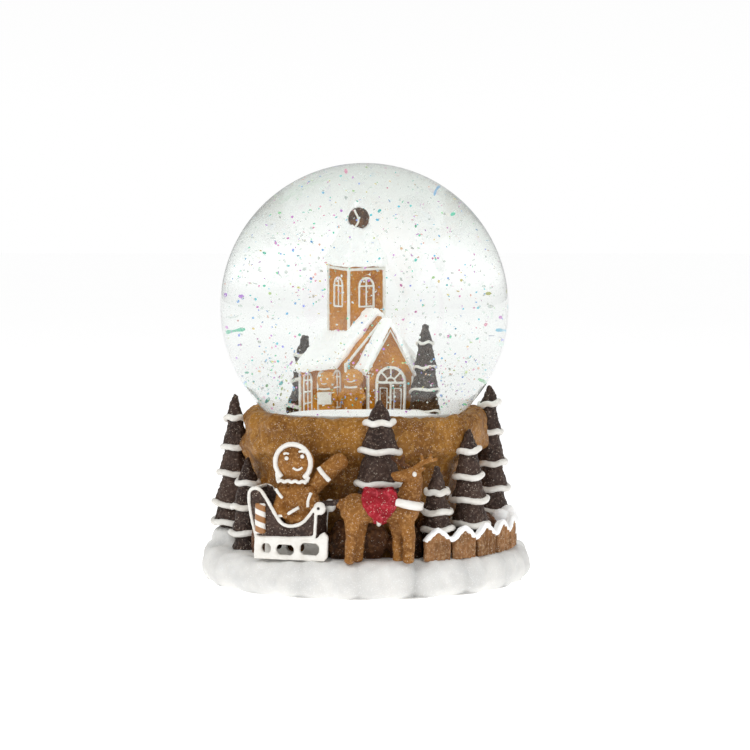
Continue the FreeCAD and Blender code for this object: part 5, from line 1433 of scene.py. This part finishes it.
@dataclass
class Church:
    """The gingerbread church with its snow roofs and piped windows."""

    stand: Stand = Stand(-2.0, 6.0, 64.2, 28.0)
    half_width: float = 11.0
    front: float = 14.0
    rear: float = 9.0
    wall: float = 15.0
    ridge: float = 28.0
    tower: float = 5.15
    tower_top: float = 40.5
    porch_front: float = 19.5
    porch_half: float = 7.0
    porch_wall: float = 12.5
    porch_ridge: float = 25.5
    door_half: float = 4.4
    door_spring: float = 9.4
    bead: float = 0.34
    beads: list[bpy.types.Object] = field(default_factory=list)

    def on(self, side: Side, distance: float, across: float, up: float) -> Point:
        """Return a point on one of the walls.

        Args:
            side: The wall's side.
            distance: How far the wall is from the frame's middle.
            across: The place along the wall.
            up: The height.

        Returns:
            The point in the church's frame.
        """
        x, y = side.value
        if x:
            return (x * distance, across, up)
        return (across, y * distance, up)

    def run(self, points: Sequence[Point], size: float = 1.0, corners: bool = True) -> None:
        """Pipe a bead in the church's frame."""
        self.beads.append(BENCH.line("bead", points, self.bead * size, corners=corners))

    def window(self, side: Side, distance: float, across: float, foot: float, width: float, tall: float,
               bars: int) -> None:
        """Pipe an arched window frame with its bars.

        Args:
            side: The wall's side.
            distance: How far the wall is from the frame's middle.
            across: The middle of the window along the wall.
            foot: The sill's height.
            width: The window's width.
            tall: The window's height.
            bars: How many bars cross it.
        """
        half = width / 2
        spring = foot + tall - half
        arch = [(across + half * math.cos(a), spring + half * math.sin(a)) for a in
                [math.pi * i / 8 for i in range(9)]]
        outline = [(across + half, foot)] + arch + [(across - half, foot), (across + half, foot)]
        self.run([self.on(side, distance, a, u) for a, u in outline], 0.95)
        self.run([self.on(side, distance, across, foot), self.on(side, distance, across, foot + tall)], 0.7)
        for number in range(bars):
            height = foot + (tall - half) * (number + 1) / bars
            self.run([self.on(side, distance, across - half, height),
                      self.on(side, distance, across + half, height)], 0.7)

    def build(self) -> None:
        """Cast the snow roofs, dress the walls and pipe the icing."""
        for node, name, voxel in (("nave_roof_snow", "nave_snow", 0.4),
                                  ("porch_roof_snow", "porch_snow", 0.35),
                                  ("tower_spire", "spire_snow", 0.4),
                                  ("settled_snow", "settled_flakes", 0.5)):
            snow = BENCH.copy_of(node, name)
            BENCH.cast(snow, voxel, 6, ((2.4, 0.7), (0.9, 0.3)))
            BENCH.dress(snow, Finishes.FINE_SNOW, [node])
        for node, name in (("church_nave", "nave_walls"), ("church_porch", "porch_walls"),
                           ("church_tower", "tower_walls")):
            walls = BENCH.copy_of(node, name)
            BENCH.cast(walls, 0.35, 1, ((1.4, 0.3), (0.6, 0.25)))
            BENCH.dress(walls, Finishes.CHURCH, [node])
        self.corners()
        self.windows()
        self.door()
        self.bench()
        BENCH.make("church_piping", self.beads,
                   Skin(0.17, 0, ((0.8, 0.16),)),
                   Finishes.ICING, "white_icing", ["icing_windows"], stand=self.stand)
        self.ornament()

    def corners(self) -> None:
        """Pipe the walls' corners, gables and foot."""
        for x in (-self.half_width, self.half_width):
            for y in (-self.front, self.rear):
                self.run([(x, y, 0.2), (x, y, self.wall)], 1.4)
            self.run([(x * 1.01, -self.front, 0.9), (x * 1.01, self.rear, 0.9)], 1.5)
        for y in (-self.front - 0.1, self.rear + 0.1):
            self.run([(-self.half_width, y, self.wall - 0.6), (0, y, self.ridge - 1.2),
                      (self.half_width, y, self.wall - 0.6)], 1.3)
            self.run([(-self.half_width, y, 0.9), (self.half_width, y, 0.9)], 1.5)
        for x in (-self.porch_half, self.porch_half):
            self.run([(x, -self.porch_front, 0.2), (x, -self.porch_front, self.porch_wall - 1)], 1.5)
        self.run([(-self.porch_half, -self.porch_front, self.porch_wall), (0, -self.porch_front,
                 self.porch_ridge - 1.4), (self.porch_half, -self.porch_front, self.porch_wall)], 1.1)
        edge = self.tower + 0.02
        for x in (-edge, edge):
            for y in (-edge, edge):
                self.run([(x, y, 18.0), (x, y, self.tower_top)], 1.3)
        height = self.tower_top - 0.6
        self.run([(-edge, -edge, height), (edge, -edge, height), (edge, edge, height),
                  (-edge, edge, height), (-edge, -edge, height)], 1.2)

    def windows(self) -> None:
        """Pipe the tower's and the nave's windows."""
        for side in Side:
            self.window(side, self.tower + 0.1, 0.0, 30.2, 4.2, 7.4, 1)
        for side in (Side.LEFT, Side.RIGHT):
            for across in (5.4, -1.2, -9.4):
                self.window(side, self.half_width + 0.1, across, 2.6, 3.6, 10.6, 3)
        for across in (-7.6, 0.0, 7.6):
            self.window(Side.BACK, self.rear + 0.1, across, 3.0, 4.2, 10.0, 3)
        self.window(Side.FRONT, self.front + 0.1, 0.0, 20.4, 2.2, 3.4, 1)

    def door(self) -> None:
        """Pipe the door's frame, transom, post and fan."""
        wall, half, spring, sill = self.porch_front + 0.15, self.door_half, self.door_spring, 0.3
        panel = BENCH.add(Shape.ROD, "door_leaf", (0, 0, 0), (half, half, 0.35), (90, 0, 0))
        lower = BENCH.add(Shape.BLOCK, "door_leaf", (0, 0, -spring / 2), (half, 0.35, spring / 2))
        leaf = BENCH.join("door_leaf", [panel, lower])
        BENCH.cast(leaf, 0.25, 1, ((1.0, 0.3),))
        BENCH.move(leaf, Stand(0, -wall + 0.1, spring))
        BENCH.move(leaf, self.stand)
        BENCH.dress(leaf, Finishes.CHURCH_DARK, ["church_door"])
        wall += 0.3
        arch = [(half * math.cos(a), -wall, spring + half * math.sin(a)) for a in
                [math.pi * i / 14 for i in range(15)]]
        self.run([(half, -wall, sill)] + arch + [(-half, -wall, sill)], 1.35)
        self.run([(-half, -wall, spring), (half, -wall, spring)], 1.1)
        self.run([(0, -wall, sill), (0, -wall, spring)], 1.0)
        for turn in (45, 90, 135):
            a = math.radians(turn)
            self.run([(1.4 * math.cos(a), -wall, spring + 1.4 * math.sin(a)),
                      (4.3 * math.cos(a), -wall, spring + 4.3 * math.sin(a))], 0.8)
        self.run([(1.5 * math.cos(a), -wall, spring + 1.5 * math.sin(a)) for a in
                  [math.pi * i / 8 for i in range(9)]], 0.8)
        for x in (-2.2, 2.2):
            self.run([(x - 1.1, -wall, 1.6), (x + 1.1, -wall, 1.6), (x + 1.1, -wall, 7.8),
                      (x - 1.1, -wall, 7.8), (x - 1.1, -wall, 1.6)], 0.6)

    def bench(self) -> None:
        """Lay the low brick wall with an iced top in front of the couple."""
        bricks = []
        for row in range(2):
            for number in range(5):
                spot = (-12.2 + number * 2.7 + 1.2 * row, -16.4, 0.75 + 1.35 * row)
                bricks.append(BENCH.add(Shape.BLOCK, "brick", spot, (1.25, 0.7, 0.6)))
        wall = BENCH.join("brick_wall", bricks)
        BENCH.modify(wall, "BEVEL", width=0.2 * MM, segments=2)
        BENCH.move(wall, self.stand)
        BENCH.dress(wall, Finishes.CHURCH)
        self.run([(-13.6, -16.5, 3.1), (0.2, -16.5, 3.1)], 1.7)

    def ornament(self) -> None:
        """Hang the dark ball on the spire with its icing line."""
        low, high = (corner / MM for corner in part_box("spire_ornament"))
        middle = (low + high) / 2
        radius = (high.x - low.x) / 2
        ball = BENCH.add(Shape.STONE, "spire_bauble", middle, [radius] * 3)
        BENCH.cast(ball, 0.25, 1, ((1.2, 0.35),))
        BENCH.dress(ball, Finishes.ROCK, ["spire_ornament"])
        turns = [math.radians(a) for a in range(-150, 0, 15)]
        over = radius + 0.05
        band = BENCH.line("bauble_icing", [
            (middle.x - 0.6 + 0.5 * math.sin(3 * a), middle.y + over * math.sin(a),
             middle.z - over * math.cos(a)) for a in turns], 0.28)
        BENCH.dress(band, Finishes.ICING)


@dataclass
class Figure:
    """One of the gingerbread couple in front of the nave."""

    name: str
    node: str
    scale: float
    turn: float
    apron: bool

    def build(self) -> None:
        """Bake the figure and pipe its clothes."""
        low, high = (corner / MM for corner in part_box(self.node))
        middle = (low + high) / 2
        stand = Stand(middle.x, middle.y, low.z, self.turn)
        s = self.scale
        parts = [BENCH.add(Shape.BALL, "body", (0, 0, 3.4 * s), (2.5 * s, 1.7 * s, 3.6 * s)),
                 BENCH.add(Shape.BALL, "head", (0, -0.1, 8.6 * s), (2.7 * s, 1.7 * s, 2.4 * s)),
                 BENCH.limb("arm", (-1.8 * s, 0, 5.6 * s), (-2.9 * s, -1.2 * s, 3.4 * s), 0.9 * s, 0.85 * s),
                 BENCH.limb("arm", (1.8 * s, 0, 5.6 * s), (2.9 * s, -1.2 * s, 3.6 * s), 0.9 * s, 0.85 * s),
                 BENCH.limb("leg", (-1.2 * s, 0, 2.0 * s), (-1.3 * s, -0.2, 0.7), 1.1 * s, 1.0 * s),
                 BENCH.limb("leg", (1.2 * s, 0, 2.0 * s), (1.3 * s, -0.2, 0.7), 1.1 * s, 1.0 * s)]
        BENCH.make(self.name, parts,
                   Skin(0.24, 2, ((1.6, 0.35),)),
                   Finishes.COOKIE, "cast_gingerbread", [self.node], stand=stand)
        face = -1.75 * s
        beads = [BENCH.line("bead", [(-1.6 * s, face + 0.3, 6.4 * s), (0, face - 0.2, 6.0 * s),
                                     (1.6 * s, face + 0.3, 6.4 * s)], 0.36),
                 BENCH.line("bead", [(-0.8 * s, face - 0.1, 7.8 * s), (0, face - 0.2, 7.4 * s),
                                     (0.8 * s, face - 0.1, 7.8 * s)], 0.2)]
        beads.extend(BENCH.add(Shape.BALL, "dot", (x * s, face, 9.0 * s), (0.34, 0.26, 0.34))
                     for x in (-0.9, 0.9))
        if self.apron:
            beads.append(BENCH.add(Shape.BLOCK, "apron", (0, face - 0.1, 3.6 * s), (2.0 * s, 0.4, 1.7 * s)))
            beads.append(BENCH.line("bead", [(-2.4 * s, -1.0, 5.2 * s), (0, face - 0.3, 5.4 * s),
                                             (2.4 * s, -1.0, 5.2 * s)], 0.34))
        else:
            beads.extend(BENCH.add(Shape.BALL, "dot", (0, face + 0.1, z * s), (0.3, 0.25, 0.3))
                         for z in (3.0, 4.4))
        BENCH.make(self.name + "_icing", beads, Skin(0.16, 1), Finishes.ICING, "white_icing", stand=stand)


# ---------------------------------------------------------------- the underside and movement

@dataclass
class Workings:
    """The frame's own parts that keep their shape and take a finish."""

    finishes: dict[str, Finishes] = field(default_factory=lambda: {
        "figure_ground": Finishes.FINE_SNOW, "globe_stopper": Finishes.RUBBER, "bottom_cover": Finishes.COVER,
        "cover_screws": Finishes.STEEL, "rest_pads": Finishes.RUBBER, "key_arbor": Finishes.STEEL,
        "winding_key": Finishes.STEEL, "spring_drum": Finishes.BRASS, "mainspring": Finishes.SPRING,
        "tune_cylinder": Finishes.BRASS, "tone_comb": Finishes.SPRING, "comb_screws": Finishes.STEEL,
        "movement_bedplate": Finishes.CASTING, "movement_screws": Finishes.STEEL,
        "governor_wheel": Finishes.NYLON, "governor_fan": Finishes.NYLON})

    def build(self) -> None:
        """Paint each part."""
        for node, finish in self.finishes.items():
            PAINTS.paint(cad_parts[node], finish)
            LOG.info("%s: painted", node)


# ---------------------------------------------------------------- studio

@dataclass
class Studio:
    """A pale floor, soft lights and the camera."""

    eye: Point = (3.65, -803.0, 123.0)
    aim: Point = (3.65, 0.0, 70.7)
    lens: float = 111.0
    white: float = 1.0
    soft: float = 0.5
    floor_half: float = 9000.0
    floor_glow: float = 0.68
    lamp_aim: Point = (0.0, 0.0, 70.0)
    lamps: tuple[tuple[str, Point, float, float], ...] = (
        ("key_light", (-420, -520, 620), 420, 2.7),
        ("fill_light", (560, -420, 380), 420, 1.1),
        ("top_light", (60, 160, 760), 500, 1.5))

    def sky(self) -> None:
        """Make the sky: white behind things, softer as a lamp, a little dimmer overhead."""
        world = bpy.data.worlds.new("studio_sky")
        bpy.context.scene.world = world
        world.use_nodes = True
        tree = world.node_tree
        path = tree.nodes.new("ShaderNodeLightPath")
        seen = Wire(tree, path.outputs["Is Camera Ray"]).math("MAXIMUM", Wire(
            tree, path.outputs["Is Transmission Ray"]))
        place = tree.nodes.new("ShaderNodeTexCoord")
        parts = tree.nodes.new("ShaderNodeSeparateXYZ")
        tree.links.new(place.outputs["Generated"], parts.inputs[0])
        height = Wire(tree, parts.outputs[2]).over(0.5, 0.9)
        strength = (seen * (self.white - self.soft) + self.soft) * (1.0 - height * 0.3)
        sky = tree.nodes["Background"]
        tree.links.new(strength.socket, sky.inputs["Strength"])
        sky.inputs["Color"].default_value = (1.0, 1.0, 1.0, 1.0)

    def floor(self) -> None:
        """Lay a pale floor with painted shade near the globe, seen only through the globe's water, and open
        from below.
        """
        floor = BENCH.add(Shape.SHEET, "studio_floor", (0, 0, -0.02), (self.floor_half, self.floor_half, 1.0))
        paint = Palette("studio_paper")
        tone = paint.blend(paint.noise(3.0), (0.74, 0.74, 0.74), (0.77, 0.77, 0.77))
        reach = paint.node("ShaderNodeVectorMath", {"operation": "LENGTH"})
        paint.feed(reach.inputs[0], paint.place)
        near = 1.0 - Wire(paint.tree, reach.outputs["Value"]).over(0.3, 0.3)
        # painted shade near the globe, seen only by rays through the globe, so the ball's top reads grey; the
        # floor's painted glow dims there too
        path = paint.node("ShaderNodeLightPath")
        painted_shade_near_globe = near * Wire(paint.tree, path.outputs["Is Transmission Ray"])
        tone = paint.blend(painted_shade_near_globe, tone, (0.55, 0.57, 0.55))
        painted_glow = paint.blend(painted_shade_near_globe, (1.0, 1.0, 1.0), (0.55, 0.58, 0.55))
        floor.data.materials.clear()
        floor.data.materials.append(paint.finish(Base_Color=tone, Roughness=0.9, Specular_IOR_Level=0.1,
                                                 Emission_Color=painted_glow, Emission_Strength=self.floor_glow))
        shader = paint.output.inputs[0].links[0].from_socket
        below = paint.node("ShaderNodeNewGeometry").outputs["Backfacing"]
        open_way = paint.node("ShaderNodeBsdfTransparent")
        sides = paint.node("ShaderNodeMixShader")
        for socket, value in zip(sides.inputs, (below, shader, open_way.outputs[0])):
            paint.feed(socket, value)
        paint.tree.links.new(sides.outputs[0], paint.output.inputs[0])

    @staticmethod
    def hold(name: str, data: bpy.types.ID, place: Point, aim: Point) -> bpy.types.Object:
        """Stand a lamp or the camera in its place, turned towards a point."""
        holder = bpy.data.objects.new(name, data)
        bpy.context.scene.collection.objects.link(holder)
        holder.location = Vector(place) * MM
        holder.rotation_euler = (Vector(aim) - Vector(place)).to_track_quat("-Z", "Y").to_euler()
        return holder

    def build(self) -> None:
        """Set the floor, the sky, the lights and the camera."""
        self.floor()
        self.sky()
        for name, place, size, power in self.lamps:
            lamp = bpy.data.lights.new(name, "AREA")
            lamp.energy = power
            lamp.size = size * MM
            holder = self.hold(name, lamp, place, self.lamp_aim)
            holder.visible_glossy = False
            holder.visible_transmission = False
        camera = bpy.data.cameras.new("camera")
        camera.lens = self.lens
        camera.sensor_width = 36.0
        camera.clip_end = 20.0
        bpy.context.scene.camera = self.hold("camera", camera, self.eye, self.aim)
        bpy.context.scene.view_settings.view_transform = "Standard"


def write_sizes() -> None:
    """Bring the view layer up to date."""
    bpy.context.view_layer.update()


def main() -> None:
    """Build every part of the globe in order."""
    logging.basicConfig(level=logging.INFO, format="%(message)s")
    for part in (GlassBall(), Drum(), SnowBase(), Wood(), Fence(), Sleigh(), Rider(), Reindeer(), Church(),
                 Figure("gingerbread_bride", "gingerbread_girl", 1.12, -28.0, True),
                 Figure("gingerbread_groom", "gingerbread_boy", 1.2, -18.0, False), Workings(), Studio()):
        part.build()
        LOG.info("done: %s", type(part).__name__)
    write_sizes()


if __name__ == "__main__":
    main()
